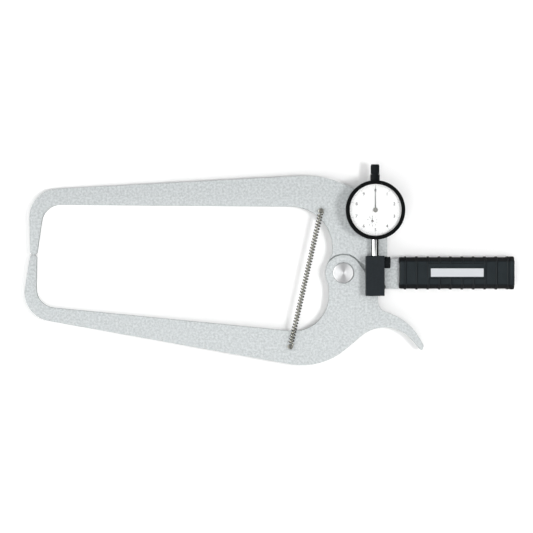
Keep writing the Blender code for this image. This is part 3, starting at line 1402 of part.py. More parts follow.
clear_scene()
PIECES = new_collection("dial_caliper_gauge")
CUTTERS = new_collection("cutters")
CUTTERS.hide_render = True
ALONG_X = (0, math.pi / 2, 0)
ALONG_Y = (-math.pi / 2, 0, 0)
PIVOT = axis("pivot_axis", (0, 0, 0))
SPINDLE = axis("spindle_axis", (SPINDLE_X, 0, SPINDLE_Z), ALONG_Y)
CLAMP = axis("clamp_axis", (0, CLAMP_Y, SPINDLE_Z), ALONG_X)
GRIP = axis("grip_axis", (0, 0, ARM_REAR + ARM_THICK / 2), ALONG_X)
DIAL = axis("dial_axis", (SPINDLE_X, DIAL_Y, 0))
CENTRE = axis("centre_arbor_axis", (SPINDLE_X, DIAL_Y, 0))
first = first_arbor_place()
FIRST = axis("first_arbor_axis", (SPINDLE_X + first.x, DIAL_Y + first.y, 0))
takeup = takeup_arbor_place()
TAKEUP = axis("takeup_arbor_axis", (SPINDLE_X + takeup.x, DIAL_Y + takeup.y, 0))
PEG = axis("peg_axis", (SPINDLE_X, DIAL_Y - PEG_DOWN, SPINDLE_Z), ALONG_X)

make_arms()
make_pivot()
make_contact_pin()
make_block()
make_clamp()
make_spring_posts()
make_tension_spring()
make_grip()
make_case()
make_spindle(make_stem())
make_movement()
make_gear_train()
make_dial()
make_bezel()
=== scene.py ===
from math import atan, cos, pi, radians, sin, tau

import bmesh
import bpy
from mathutils import Matrix, Vector


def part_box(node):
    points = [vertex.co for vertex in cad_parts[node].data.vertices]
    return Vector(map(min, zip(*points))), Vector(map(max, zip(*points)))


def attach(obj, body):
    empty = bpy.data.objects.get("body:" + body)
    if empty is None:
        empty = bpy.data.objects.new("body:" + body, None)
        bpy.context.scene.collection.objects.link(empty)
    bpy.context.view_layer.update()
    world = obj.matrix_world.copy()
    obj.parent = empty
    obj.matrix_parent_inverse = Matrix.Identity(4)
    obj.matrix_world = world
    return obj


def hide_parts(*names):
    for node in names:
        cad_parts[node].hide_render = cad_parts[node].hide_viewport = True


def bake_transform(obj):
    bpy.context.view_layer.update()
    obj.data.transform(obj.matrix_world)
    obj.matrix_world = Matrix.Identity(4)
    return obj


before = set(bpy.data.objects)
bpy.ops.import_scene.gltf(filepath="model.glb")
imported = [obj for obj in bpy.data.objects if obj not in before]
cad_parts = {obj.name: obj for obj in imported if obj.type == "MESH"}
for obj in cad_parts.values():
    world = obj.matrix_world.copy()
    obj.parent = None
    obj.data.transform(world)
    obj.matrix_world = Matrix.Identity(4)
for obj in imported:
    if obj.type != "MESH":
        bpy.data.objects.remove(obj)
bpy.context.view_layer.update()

# Fixed arm and moving arm: two plates cut from 8 mm steel, lapped at the hub. Their edges are
# broken with a file, and both are sprayed with a silver hammer finish enamel, whose leafing
# flakes dry into a fine mottle.
PLATE_REAR = 0.0005
PLATE_FRONT = 0.0085
FILED_EDGE = 0.0005
FILED_STEPS = 3
LEAST_WALL = 0.0012
FACE_RISE = 0.99
WALL_RISE = 0.01
JOIN_WITHIN = 0.00001
FLAT_WITHIN = radians(1)
SHARP_FROM = radians(35)
FLAT_AREA = 0.000003
FLAT_FROM = radians(10)


def srgb(code):
    """A colour written as #RRGGBB, as the linear values that a shader takes."""
    parts = [int(code[i:i + 2], 16) / 255 for i in (1, 3, 5)]
    return (*[p / 12.92 if p <= 0.04045 else ((p + 0.055) / 1.055) ** 2.4 for p in parts], 1)


def add_node(tree, kind, inputs=None, out=0, **settings):
    """One node with its settings. An input takes a value, or the socket that is linked to it. One
    of its outputs comes back, or all of them where out is None."""
    node = tree.nodes.new(kind)
    for name, value in settings.items():
        setattr(node, name, value)
    for name, value in (inputs or {}).items():
        socket = node.inputs[name]
        if isinstance(value, bpy.types.NodeSocket):
            tree.links.new(value, socket)
        else:
            socket.default_value = value
    return node.outputs if out is None else node.outputs[out]


def new_finish(name, constants):
    """A new material, its node tree, its shader with these constants, and the object's coordinates."""
    material = bpy.data.materials.new(name)
    material.use_nodes = True
    tree = material.node_tree
    shader = tree.nodes["Principled BSDF"]
    for socket, value in constants.items():
        shader.inputs[socket].default_value = value
    return material, tree, shader, add_node(tree, "ShaderNodeTexCoord", out="Object")


def joined_copy(node):
    """A CAD node's mesh with its loose triangles joined and its flat faces made whole."""
    work = bmesh.new()
    work.from_mesh(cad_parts[node].data)
    bmesh.ops.remove_doubles(work, verts=work.verts, dist=JOIN_WITHIN)
    bmesh.ops.dissolve_limit(work, angle_limit=FLAT_WITHIN, verts=work.verts, edges=work.edges)
    return work


def to_mesh(work, name):
    mesh = bpy.data.meshes.new(name)
    work.to_mesh(mesh)
    work.free()
    return mesh


def put(name, data):
    made = bpy.data.objects.new(name, data)
    bpy.context.scene.collection.objects.link(made)
    return made


def show(name, *parts):
    """A piece of the scene from (mesh, material) pairs. Round sides are shaded smooth, flat ones flat."""
    work = bmesh.new()
    for number, (mesh, _) in enumerate(parts):
        before = len(work.faces)
        work.from_mesh(mesh)
        work.faces.ensure_lookup_table()
        for face in work.faces[before:]:
            face.material_index = number
    for face in work.faces:
        face.smooth = True
    for edge in work.edges:
        turn = edge.calc_face_angle(0)
        wide = max((face.calc_area() for face in edge.link_faces), default=0) > FLAT_AREA
        edge.smooth = turn < (FLAT_FROM if wide else SHARP_FROM)
    mesh = to_mesh(work, name)
    for _, material in parts:
        mesh.materials.append(material)
    return put(name, mesh)


def filed_plate(node):
    """The plate with the edges between its two faces and its walls broken."""
    work = joined_copy(node)
    edges = []
    for edge in work.edges:
        if len(edge.link_faces) != 2:
            continue
        cap, wall = sorted(edge.link_faces, key=lambda face: -abs(face.normal.z))
        heights = [vert.co.z for vert in wall.verts]
        on_face = min(abs(edge.verts[0].co.z - z) for z in (PLATE_REAR, PLATE_FRONT)) < JOIN_WITHIN
        upright = abs(cap.normal.z) > FACE_RISE and abs(wall.normal.z) < WALL_RISE
        if on_face and upright and max(heights) - min(heights) > LEAST_WALL:
            edges.append(edge)
    bmesh.ops.bevel(work, geom=edges, offset=FILED_EDGE, segments=FILED_STEPS, profile=0.5, affect="EDGES")
    large = [face for face in work.faces if len(face.verts) > 4]
    bmesh.ops.triangulate(work, faces=large, ngon_method="EAR_CLIP")
    return to_mesh(work, node)


# Silver hammer finish enamel, sprayed: a pale grey mottle of about 2 mm with fine bright flakes,
# dimpled and half glossy. The plates' walls are painted a darker grey: painted shade, since the
# walls get little light from above.
MOTTLE = 0.0021
FLAKE = 0.0007
CLOUD = 0.012


def coloured(tree, shader, share, *shades):
    """Mixes the shader's colour from two by a share. Each is a hex code or a colour made before."""
    first, second = [srgb(shade) if isinstance(shade, str) else shade for shade in shades]
    mixed = add_node(tree, "ShaderNodeMix", {0: share, 6: first, 7: second}, 2, data_type="RGBA")
    tree.links.new(mixed, shader.inputs["Base Color"])
    return mixed


def textured(tree, shader, pattern, roughness=None, bump=None):
    """Lets a pattern drive the shader's roughness from low to high, and its bump by strength and depth."""
    if roughness:
        low, high = roughness
        rough = add_node(tree, "ShaderNodeMapRange", {"Value": pattern, "To Min": low, "To Max": high})
        tree.links.new(rough, shader.inputs["Roughness"])
    if bump:
        strength, depth = bump
        raised = add_node(tree, "ShaderNodeBump", {"Strength": strength, "Distance": depth, "Height": pattern})
        tree.links.new(raised, shader.inputs["Normal"])


def wall_share(tree, start, end):
    """The share of painted shade on walls: 0 on faces that look up or down, 1 on walls, as the normal's rise
    goes from start to end.
    """
    normal = add_node(tree, "ShaderNodeTexCoord", out="Normal")
    rise = add_node(tree, "ShaderNodeSeparateXYZ", {0: normal}, "Z")
    rise = add_node(tree, "ShaderNodeMath", {0: rise}, operation="ABSOLUTE")
    return add_node(tree, "ShaderNodeMapRange", {"Value": rise, "From Min": start, "From Max": end})


enamel, tree, shader, where = new_finish("hammer_finish_enamel", {"Metallic": 0.12, "Specular IOR Level": 0.35})
mottle = add_node(
    tree, "ShaderNodeTexNoise", {"Vector": where, "Scale": 1 / MOTTLE, "Detail": 3, "Roughness": 0.6}
)
flake = add_node(tree, "ShaderNodeTexVoronoi", {"Vector": where, "Scale": 1 / FLAKE})
cloud = add_node(tree, "ShaderNodeTexNoise", {"Vector": where, "Scale": 1 / CLOUD, "Detail": 2})
patches = add_node(tree, "ShaderNodeMapRange", {"Value": mottle, "From Min": 0.36, "From Max": 0.64})
flecks = add_node(
    tree, "ShaderNodeMapRange", {"Value": flake, "From Min": 0.05, "From Max": 0.5, "To Min": 0.35, "To Max": 0}
)
clouds = add_node(tree, "ShaderNodeMath", {0: cloud, 1: 0.4}, operation="MULTIPLY")
shade = coloured(tree, shader, patches, "#ADB2B3", "#D0D4D5")
shade = coloured(tree, shader, flecks, shade, "#E6E9E9")
shade = coloured(tree, shader, clouds, shade, "#C6CBCC")
# Painted shade: the walls are mixed towards a darker grey.
coloured(tree, shader, wall_share(tree, 0.6, 0.3), shade, "#949C9A")
textured(tree, shader, mottle, (0.45, 0.62), (0.35, 0.0002))

for node, body in (("fixed_arm", "frame"), ("moving_arm", "moving_arm")):
    arm = show(node + "_enamelled", (filed_plate(node), enamel))
    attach(arm, body)
    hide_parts(node)

# Pivot screw: a large flat head turned from stainless steel bar, with the tool's fine rings
# left on its face and a bright chamfer round its rim. It runs in a thin brass bush.
PIVOT_R = 0.0100
PIVOT_LOW = 0.0076
PIVOT_TOP = 0.0098
PIVOT_SHANK_R = 0.0047
PIVOT_THREAD_R = 0.0040
PIVOT_THREAD_TOP = 0.0025
PIVOT_CHAMFER = 0.0006
PIVOT_END = 0.0002
LATHE_STEPS = 160
SHARP = 0.0001
FINE = 0.0002
SOFT = 0.0003


def softened(corners, steps=4, closed=True):
    """A line through its (x, y, reach) corners, each rounded off over its reach."""
    points = []
    for i, (x, y, reach) in enumerate(corners):
        here = Vector((x, y))
        if not reach or (not closed and i in (0, len(corners) - 1)):
            points.append(here)
            continue
        before = (Vector(corners[i - 1][:2]) - here).normalized() * reach + here
        after = (Vector(corners[(i + 1) % len(corners)][:2]) - here).normalized() * reach + here
        for k in range(steps + 1):
            t = k / steps
            points.append(before * (1 - t) ** 2 + here * 2 * t * (1 - t) + after * t**2)
    return points


def from_points(points, faces):
    mesh = bpy.data.meshes.new("points")
    mesh.from_pydata(points, [], faces)
    return mesh


def lathe(profile, steps=LATHE_STEPS):
    """A turned piece's mesh round +Z. The (radius, height) points run down its outer side."""
    points, rings = [], []
    for radius, height in profile:
        count = steps if radius > 0 else 1
        rings.append(range(len(points), len(points) + count))
        points += [
            (radius * cos(tau * i / steps), radius * sin(tau * i / steps), height)
            for i in range(count)
        ]
    pairs = list(zip(rings, rings[1:]))
    if profile[0][0] > 0:
        pairs.append((rings[-1], rings[0]))
    faces = []
    for upper, lower in pairs:
        for i in range(steps):
            j = (i + 1) % steps
            face = [upper[i % len(upper)], lower[i % len(lower)], lower[j % len(lower)], upper[j % len(upper)]]
            if len(set(face)) > 2:
                faces.append(list(dict.fromkeys(face)))
    return from_points(points, faces)


def turned(corners, steps=LATHE_STEPS, closed=False):
    """A turned piece from the (radius, height, reach) corners of its section. A reach of 0 leaves a
    corner as the tool cut it; SHARP, FINE and SOFT are edges broken with a file."""
    return lathe(softened(corners, closed=closed), steps)


# Turned stainless steel: the rings of the lathe tool, drawn 0.3 mm apart, coarser than they are,
# so that light gathers in bright fans across the face. A wave texture of scale 1 has its rings
# WAVE_PITCH apart.
TOOL_PITCH = 0.0003
WAVE_PITCH = tau / 20


def turned_metal(name, dark, light, roughness, bump):
    """Metal with the fine rings that a lathe leaves round +Z."""
    material, tree, shader, where = new_finish(
        name, {"Metallic": 1.0, "Anisotropic": 0.85, "Anisotropic Rotation": 0.25}
    )
    rings = add_node(
        tree, "ShaderNodeTexWave",
        {"Vector": where, "Scale": WAVE_PITCH / TOOL_PITCH, "Distortion": 0.4, "Detail": 1},
        1, wave_type="RINGS", rings_direction="Z",
    )
    drift = add_node(tree, "ShaderNodeTexNoise", {"Vector": where, "Scale": 400, "Detail": 2})
    coloured(tree, shader, drift, dark, light)
    textured(tree, shader, rings, (roughness - 0.05, roughness + 0.07), (bump, 0.00003))
    tangent = add_node(tree, "ShaderNodeTangent", direction_type="RADIAL", axis="Z")
    tree.links.new(tangent, shader.inputs["Tangent"])
    return material


pivot_steel = turned_metal("turned_stainless_steel", "#E4E5E6", "#F0F1F2", 0.4, 0.25)
pivot_mesh = turned([
    (0, PIVOT_TOP, 0), (PIVOT_R - PIVOT_CHAMFER, PIVOT_TOP, SHARP),
    (PIVOT_R, PIVOT_TOP - PIVOT_CHAMFER, SHARP), (PIVOT_R, PIVOT_LOW, 0), (PIVOT_SHANK_R, PIVOT_LOW, 0),
    (PIVOT_SHANK_R, PIVOT_THREAD_TOP, 0), (PIVOT_THREAD_R, PIVOT_THREAD_TOP, 0),
    (PIVOT_THREAD_R, PIVOT_END, 0), (PIVOT_THREAD_R - PIVOT_END, 0, 0), (0, 0, 0),
])
pivot_face = show("pivot_screw_turned", (pivot_mesh, pivot_steel))
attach(pivot_face, "frame")
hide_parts("pivot_screw")

# Pivot nut: a thin round nut of the same steel, let into the rear of the fixed arm and turned
# up with a pin spanner in its two slots.
NUT_R = 0.0077
NUT_IN_R = 0.0043
NUT_TOP = 0.0022
NUT_SLOT_W = 0.0018
NUT_SLOT_END = 0.0057
NUT_SLOT_DEPTH = 0.0010
NUT_CHAMFER = 0.0003
PAST = 0.001


def settled(holder):
    """The plain mesh that an object evaluates to. The object itself goes."""
    bpy.context.view_layer.update()
    graph = bpy.context.evaluated_depsgraph_get()
    mesh = bpy.data.meshes.new_from_object(holder.evaluated_get(graph))
    bpy.data.objects.remove(holder)
    return mesh


def combined(mesh, other, operation="DIFFERENCE"):
    """The first mesh with the other cut from it, or joined to it with UNION. A cutting shape runs
    PAST the faces that it opens."""
    base, tool = put("shape", mesh), put("tool", other)
    change = base.modifiers.new("change", "BOOLEAN")
    change.object = tool
    change.operation = operation
    change.solver = "EXACT"
    made = settled(base)
    bpy.data.objects.remove(tool)
    return made


def block(low, high, edge=0):
    """A box between two corners, with rounded edges where an edge is given."""
    work = bmesh.new()
    low, high = Vector(low), Vector(high)
    place = Matrix.Translation((low + high) / 2) @ Matrix.Diagonal((*(high - low), 1))
    bmesh.ops.create_cube(work, size=1, matrix=place)
    if edge:
        bmesh.ops.bevel(work, geom=work.edges[:], offset=edge, segments=3, profile=0.5, affect="EDGES")
    return to_mesh(work, "block")


nut_mesh = turned([
    (NUT_R, NUT_TOP, 0), (NUT_R, 0, NUT_CHAMFER), (NUT_IN_R, 0, NUT_CHAMFER), (NUT_IN_R, NUT_TOP, 0),
], closed=True)
for start, end in ((-NUT_R - PAST, -NUT_SLOT_END), (NUT_SLOT_END, NUT_R + PAST)):
    slot = block((start, -NUT_SLOT_W / 2, -PAST), (end, NUT_SLOT_W / 2, NUT_SLOT_DEPTH))
    nut_mesh = combined(nut_mesh, slot)
nut = show("pivot_nut_turned", (nut_mesh, pivot_steel))
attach(nut, "frame")
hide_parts("pivot_nut")

# Spring posts: two small shouldered steel pins, riveted into the arms, with a groove under the
# head that keeps the spring's hook from slipping off.
POST_R = 0.0013
POST_HEAD_R = 0.0021
POST_FOOT_R = 0.0022
POST_FOOT = 0.0088
POST_FOOT_T = 0.0010
POST_HEAD_T = 0.0010
POST_TOP = 0.0141
POST_LOW = 0.0030
POST_EDGE = 0.0003
posts = (
    ("fixed_spring_post", "frame", (-0.0218, 0.0599)),
    ("moving_spring_post", "moving_arm", (-0.0515, -0.0712)),
)
post_steel = turned_metal("turned_pin_steel", "#7C7C77", "#96968F", 0.3, 0.1)
for node, body, (x, y) in posts:
    mesh = turned([
        (0, POST_TOP, 0), (POST_HEAD_R, POST_TOP, POST_EDGE), (POST_HEAD_R, POST_TOP - POST_HEAD_T, POST_EDGE),
        (POST_R, POST_TOP - POST_HEAD_T, 0), (POST_R, POST_FOOT + POST_FOOT_T, 0),
        (POST_FOOT_R, POST_FOOT + POST_FOOT_T, POST_EDGE), (POST_FOOT_R, POST_FOOT, 0), (POST_R, POST_FOOT, 0),
        (POST_R, POST_LOW, 0), (0, POST_LOW, 0),
    ], 64)
    mesh.transform(Matrix.Translation((x, y, 0)))
    post = show(node + "_turned", (mesh, post_steel))
    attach(post, body)
    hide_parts(node)

# Tension spring: 1.4 mm music wire, coiled and hooked over the posts, where it is held a
# little stretched, so that its turns stand apart.
WIRE_R = 0.00068
COIL_R = 0.0020
COIL_PITCH = 0.0029
SPRING_HEIGHT = 0.0117
HOOK_R = 0.0020
HOOK_NECK = 0.0031
HOOK_SWEEP = radians(215)
HOOK_STEPS = 24
COIL_STEPS = 20
WIRE_SIDES = 10


def spring_line(start, end):
    """The line of the wire: a hook round each post, and the coil between them."""
    along = (end - start).normalized()
    up = Vector((0, 0, 1))
    side = up.cross(along)
    length = (end - start).length - 2 * HOOK_NECK
    turns = round(length / COIL_PITCH)
    line = []
    for k in range(HOOK_STEPS, 0, -1):
        angle = HOOK_SWEEP * k / HOOK_STEPS
        line.append(start + (side * cos(angle) - along * sin(angle)) * HOOK_R)
    for k in range(turns * COIL_STEPS + 1):
        angle = tau * k / COIL_STEPS
        spot = start + along * (HOOK_NECK + length * k / (turns * COIL_STEPS))
        line.append(spot + (side * cos(angle) + up * sin(angle)) * COIL_R)
    for k in range(1, HOOK_STEPS + 1):
        angle = HOOK_SWEEP * k / HOOK_STEPS
        line.append(end + (side * cos(angle) + along * sin(angle)) * HOOK_R)
    return line


def new_tree(name, inputs):
    """A Geometry Nodes tree with named inputs, and its input and output nodes."""
    tree = bpy.data.node_groups.new(name, "GeometryNodeTree")
    tree.interface.new_socket("Geometry", in_out="INPUT", socket_type="NodeSocketGeometry")
    for label, kind in inputs:
        tree.interface.new_socket(label, in_out="INPUT", socket_type="NodeSocket" + kind)
    tree.interface.new_socket("Geometry", in_out="OUTPUT", socket_type="NodeSocketGeometry")
    return tree, add_node(tree, "NodeGroupInput", out=None)


def grown(holder, tree, values):
    """The plain mesh that a tree makes of an object's geometry, with its named inputs set."""
    change = holder.modifiers.new(tree.name, "NODES")
    change.node_group = tree
    for item in tree.interface.items_tree:
        if item.in_out == "INPUT" and item.name in values:
            change[item.identifier] = values[item.name]
    return settled(holder)


wire_tree, given = new_tree(
    "wire_along_line", [("Wire radius", "Float"), ("Sides", "Int"), ("Material", "Material")]
)
outline = add_node(wire_tree, "GeometryNodeCurvePrimitiveCircle", {
    "Resolution": given["Sides"], "Radius": given["Wire radius"],
})
tube = add_node(wire_tree, "GeometryNodeCurveToMesh", {
    "Curve": given["Geometry"], "Profile Curve": outline, "Fill Caps": True,
})
coated = add_node(wire_tree, "GeometryNodeSetMaterial", {"Geometry": tube, "Material": given["Material"]})
add_node(wire_tree, "NodeGroupOutput", {"Geometry": coated}, None)


def line_object(line):
    curve = bpy.data.curves.new("line", "CURVE")
    curve.dimensions = "3D"
    spline = curve.splines.new("POLY")
    spline.points.add(len(line) - 1)
    for point, there in zip(spline.points, line):
        point.co = (*there, 1)
    return put("line", curve)


# Nickel plated music wire, drawn: dull grey with a faint warm stain. Where each turn is seen edge
# on, its colour is painted near black: a painted reflection of a dark room.
music_wire, tree, shader, where = new_finish("nickel_plated_music_wire", {"Metallic": 1.0, "Roughness": 0.34})
stain = add_node(tree, "ShaderNodeTexNoise", {"Vector": where, "Scale": 900, "Detail": 2})
shade = coloured(tree, shader, stain, "#B4B3A9", "#D2D1C6")
# Painted reflection: the colour goes near black where the wire is seen edge on.
aside = add_node(tree, "ShaderNodeLayerWeight", {"Blend": 0.5}, "Facing")
edge = add_node(tree, "ShaderNodeMapRange", {"Value": aside, "From Min": 0.12, "From Max": 0.5})
coloured(tree, shader, edge, shade, "#191916")
textured(tree, shader, stain, bump=(0.1, 0.00002))

upper_hook = Vector((*posts[0][2], SPRING_HEIGHT))
lower_hook = Vector((*posts[1][2], SPRING_HEIGHT))
spring_mesh = grown(
    line_object(spring_line(upper_hook, lower_hook)), wire_tree,
    {"Wire radius": WIRE_R, "Sides": WIRE_SIDES, "Material": music_wire},
)
spring = show("tension_spring_coiled", (spring_mesh, music_wire))
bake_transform(spring)
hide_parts("tension_spring")

# Gauge block: milled from aluminium bar and anodised black, screwed to the fixed arm from
# behind. It holds the gauge by its stem and hides the pin that pushes the spindle.

# Black anodised aluminium, milled: satin and faintly blue, with feed marks along its length.
anodised, tree, shader, where = new_finish(
    "black_anodised_aluminium", {"Metallic": 0.1, "Specular IOR Level": 0.2}
)
stretched = add_node(tree, "ShaderNodeMapping", {"Vector": where, "Scale": (2500, 60, 2500)})
feed = add_node(tree, "ShaderNodeTexNoise", {"Vector": stretched, "Scale": 1, "Detail": 2})
dust = add_node(tree, "ShaderNodeTexNoise", {"Vector": where, "Scale": 500, "Detail": 3})
coloured(tree, shader, dust, "#171C1F", "#22272B")
textured(tree, shader, feed, (0.38, 0.55), (0.12, 0.00003))

gauge_block = show("gauge_block_anodised", (to_mesh(joined_copy("gauge_block"), "block"), anodised))
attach(gauge_block, "frame")
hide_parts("gauge_block")

# Block screws: two M3 socket head screws, cold formed and blacked, sunk in the rear of the arm.
# Each head has a hexagon socket and a rounded rim.
GAUGE_X = 0.030139
SCREW_XY = (GAUGE_X, 0.0126)
SCREW_SPREAD = 0.0063
SCREW_R = 0.0015
SCREW_TOP = 0.0135
SCREW_HEAD_R = 0.00275
SCREW_HEAD_TOP = 0.0035
SCREW_HEAD_LOW = 0.0005
SCREW_RIM = 0.0005
SOCKET_R = 0.00145
SOCKET_DEPTH = 0.0015

copies_tree, given = new_tree(
    "copies_in_order", [("Count", "Int"), ("Turn", "Float"), ("Step", "Vector"), ("Material", "Material")]
)
starts = add_node(copies_tree, "GeometryNodePoints", {"Count": given["Count"]})
index = add_node(copies_tree, "GeometryNodeInputIndex")
turned_on = add_node(copies_tree, "ShaderNodeMath", {0: index, 1: given["Turn"]}, operation="MULTIPLY")
spin = add_node(copies_tree, "ShaderNodeCombineXYZ", {"Z": turned_on})
rotation = add_node(copies_tree, "FunctionNodeEulerToRotation", {0: spin})
shift = add_node(copies_tree, "ShaderNodeVectorMath", {0: given["Step"], "Scale": index}, operation="SCALE")
spread = add_node(copies_tree, "GeometryNodeSetPosition", {"Geometry": starts, "Position": shift})
placed = add_node(
    copies_tree, "GeometryNodeInstanceOnPoints",
    {"Points": spread, "Instance": given["Geometry"], "Rotation": rotation},
)
real = add_node(copies_tree, "GeometryNodeRealizeInstances", {"Geometry": placed})
coated = add_node(copies_tree, "GeometryNodeSetMaterial", {"Geometry": real, "Material": given["Material"]})
add_node(copies_tree, "NodeGroupOutput", {"Geometry": coated}, None)


def copies(mesh, material, count, turn=0.0, step=(0, 0, 0)):
    """A mesh repeated in order, each copy turned about +Z and moved on from the last."""
    values = {"Count": count, "Turn": turn, "Step": step, "Material": material}
    return grown(put("one", mesh), copies_tree, values)


def plain_finish(name, constants, scale, dark, light, roughness=None, detail=3):
    """A finish that drifts between two shades, and two roughnesses, over patches of a real size."""
    material, tree, shader, where = new_finish(name, constants)
    patch = add_node(tree, "ShaderNodeTexNoise", {"Vector": where, "Scale": scale, "Detail": detail})
    coloured(tree, shader, patch, dark, light)
    textured(tree, shader, patch, roughness)
    return material


# Black oxide on steel: a thin dark skin, a little brown, that keeps the sheen of the metal.
black_oxide = plain_finish(
    "black_oxide_steel", {"Specular IOR Level": 0.06}, 1500, "#0F1113", "#1B1E20", (0.3, 0.5)
)

screw_mesh = turned([
    (0, SCREW_TOP, 0), (SCREW_R, SCREW_TOP, SOFT), (SCREW_R, SCREW_HEAD_TOP, 0),
    (SCREW_HEAD_R, SCREW_HEAD_TOP, FINE), (SCREW_HEAD_R, SCREW_HEAD_LOW, SCREW_RIM), (0, SCREW_HEAD_LOW, 0),
], 48)
socket_mesh = lathe([
    (0, SCREW_HEAD_LOW + SOCKET_DEPTH), (SOCKET_R, SCREW_HEAD_LOW + SOCKET_DEPTH),
    (SOCKET_R, -SOCKET_DEPTH), (0, -SOCKET_DEPTH),
], 6)
screw_mesh = combined(screw_mesh, socket_mesh)
screw_mesh.transform(Matrix.Translation((SCREW_XY[0] - SCREW_SPREAD, SCREW_XY[1], 0)))
screw_pair = copies(screw_mesh, black_oxide, 2, step=(2 * SCREW_SPREAD, 0, 0))
screws = show("block_screws_blacked", (screw_pair, black_oxide))
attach(screws, "frame")
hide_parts("block_screw_1", "block_screw_2")

# Clamp screw: a blacked steel thumb screw whose head is diamond knurled for the fingers. It
# presses a brass pad on the stem.
THUMB_R = 0.0057
THUMB_LOW = 0.03944
THUMB_HIGH = 0.04494
THUMB_SHANK_R = 0.0020
THUMB_TIP = 0.03594
THUMB_CHAMFER = 0.0007
THUMB_DISH = 0.0006
THUMB_DISH_R = 0.0030
THUMB_DISH_EDGE = 0.0004
KNURL_TEETH = 34
KNURL_DEPTH = 0.00028
KNURL_LEAD = 950
KNURL_ROWS = 20
TOOTH_STEPS = 8
GAUGE_Z = 0.0163
CLAMP_AXIS = (0, 0.0100, GAUGE_Z)


def knurled(radius, low, high, chamfer, teeth, depth, lead, rows):
    """A cylinder round +Z with a knurl rolled into its side: diamond where lead is not zero."""
    steps = teeth * TOOTH_STEPS
    points, rings = [], []
    knurl = high - low - 2 * chamfer
    heights = [low, *(low + chamfer + knurl * k / rows for k in range(rows + 1)), high]
    for row, height in enumerate(heights):
        ring = range(len(points), len(points) + steps)
        rings.append(ring)
        inset = chamfer if row in (0, len(heights) - 1) else 0
        for i in range(steps):
            turn = tau * i / steps
            one = abs(((turn * teeth / tau + lead * height) % 1) * 2 - 1)
            two = abs(((turn * teeth / tau - lead * height) % 1) * 2 - 1)
            sunk = depth * (1 - min(one, two) if lead else 1 - one)
            reach = radius - inset - (0 if inset else sunk)
            points.append((reach * cos(turn), reach * sin(turn), height))
    faces = [list(reversed(rings[0])), list(rings[-1])]
    for lower, upper in zip(rings, rings[1:]):
        for i in range(steps):
            j = (i + 1) % steps
            faces.append([lower[i], lower[j], upper[j], upper[i]])
    return from_points(points, faces)


thumb_mesh = knurled(
    THUMB_R, THUMB_LOW, THUMB_HIGH, THUMB_CHAMFER, KNURL_TEETH, KNURL_DEPTH, KNURL_LEAD, KNURL_ROWS
)
shank_mesh = turned([
    (0, THUMB_LOW + 2 * PAST, 0), (THUMB_SHANK_R, THUMB_LOW + 2 * PAST, 0), (THUMB_SHANK_R, THUMB_TIP, SOFT),
    (0, THUMB_TIP, 0),
], 48)
thumb_mesh = combined(thumb_mesh, shank_mesh, "UNION")
dish_floor = THUMB_HIGH - THUMB_DISH
dish_mesh = turned([
    (0, THUMB_HIGH + PAST, 0), (THUMB_DISH_R, THUMB_HIGH + PAST, 0),
    (THUMB_DISH_R, dish_floor, THUMB_DISH_EDGE), (0, dish_floor, 0),
], 64)
thumb_mesh = combined(thumb_mesh, dish_mesh)
thumb_mesh.transform(Matrix.Translation(CLAMP_AXIS) @ Matrix.Rotation(pi / 2, 4, "Y"))
thumb_screw = show("clamp_screw_knurled", (thumb_mesh, black_oxide))
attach(thumb_screw, "clamp_screw")
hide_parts("clamp_screw")

# Stem: the neck of the dial gauge, a 7 mm tube ground and hard chromed, polished bright. Its
# flange sits inside the case.
STEM_AXIS = Matrix.Translation((GAUGE_X, 0, GAUGE_Z)) @ Matrix.Rotation(-pi / 2, 4, "X")
STEM_R = 0.0035
STEM_BORE = 0.0023
STEM_EDGE = 0.0005
STEM_LOW = 0.0030
STEM_TOP_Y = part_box("gauge_stem")[1].y
FLANGE_R = 0.0046
FLANGE_T = 0.0012

# Hard chrome plate, polished: a bright mirror with the faintest lines round the tube. Where the
# tube is seen edge on, its colour is painted near black: a painted reflection of a dark room.
chrome, tree, shader, where = new_finish("hard_chrome_plate", {"Metallic": 1.0})
stretched = add_node(tree, "ShaderNodeMapping", {"Vector": where, "Scale": (50, 6000, 50)})
lines = add_node(tree, "ShaderNodeTexNoise", {"Vector": stretched, "Scale": 1})
shade = coloured(tree, shader, lines, "#D9DADB", "#E6E7E8")
# Painted reflection: the colour goes near black where the tube is seen edge on.
aside = add_node(tree, "ShaderNodeLayerWeight", {"Blend": 0.5}, "Facing")
edge = add_node(
    tree, "ShaderNodeMapRange", {"Value": aside, "From Min": 0.24, "From Max": 0.32},
    interpolation_type="SMOOTHSTEP",
)
coloured(tree, shader, edge, shade, "#1C1D1F")
textured(tree, shader, lines, (0.05, 0.12))

flange_low = STEM_TOP_Y - FLANGE_T
stem_mesh = turned([
    (FLANGE_R, STEM_TOP_Y, 0), (FLANGE_R, flange_low, 0), (STEM_R, flange_low, 0),
    (STEM_R, STEM_LOW, STEM_EDGE), (STEM_BORE, STEM_LOW, 0), (STEM_BORE, STEM_TOP_Y, 0),
], 96, True)
stem_mesh.transform(STEM_AXIS)
stem = show("gauge_stem_chromed", (stem_mesh, chrome))
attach(stem, "frame")
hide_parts("gauge_stem")

# Gauge case: turned from brass bar, bored out for the movement and chromed satin. Four lugs
# inside take the cover screws, and two holes take the neck and the top bush.
DIAL_PLACE = Matrix.Translation((GAUGE_X, 0.0605, 0))
CASE_R = 0.0260
CASE_IN_R = 0.0235
CASE_REAR = 0.0117
CASE_RIM = 0.0244
CASE_EDGE = 0.0004
GROOVE_LOW = 0.02205
GROOVE_HIGH = 0.02315
GROOVE_DEPTH = 0.0006
LUG_RING_R = 0.0205
LUG_R = 0.0024
LUG_LOW = 0.0120
LUG_TOP = 0.0189
LUG_HOLE_R = 0.0011
LUG_TURN = Matrix.Rotation(radians(45), 4, "Z")
LUG_PLACE = LUG_TURN @ Matrix.Translation((LUG_RING_R, 0, 0))
NECK_HOLE_R = 0.0038
NECK_HOLE_LOW = 0.0300
NECK_HOLE_HIGH = 0.0900


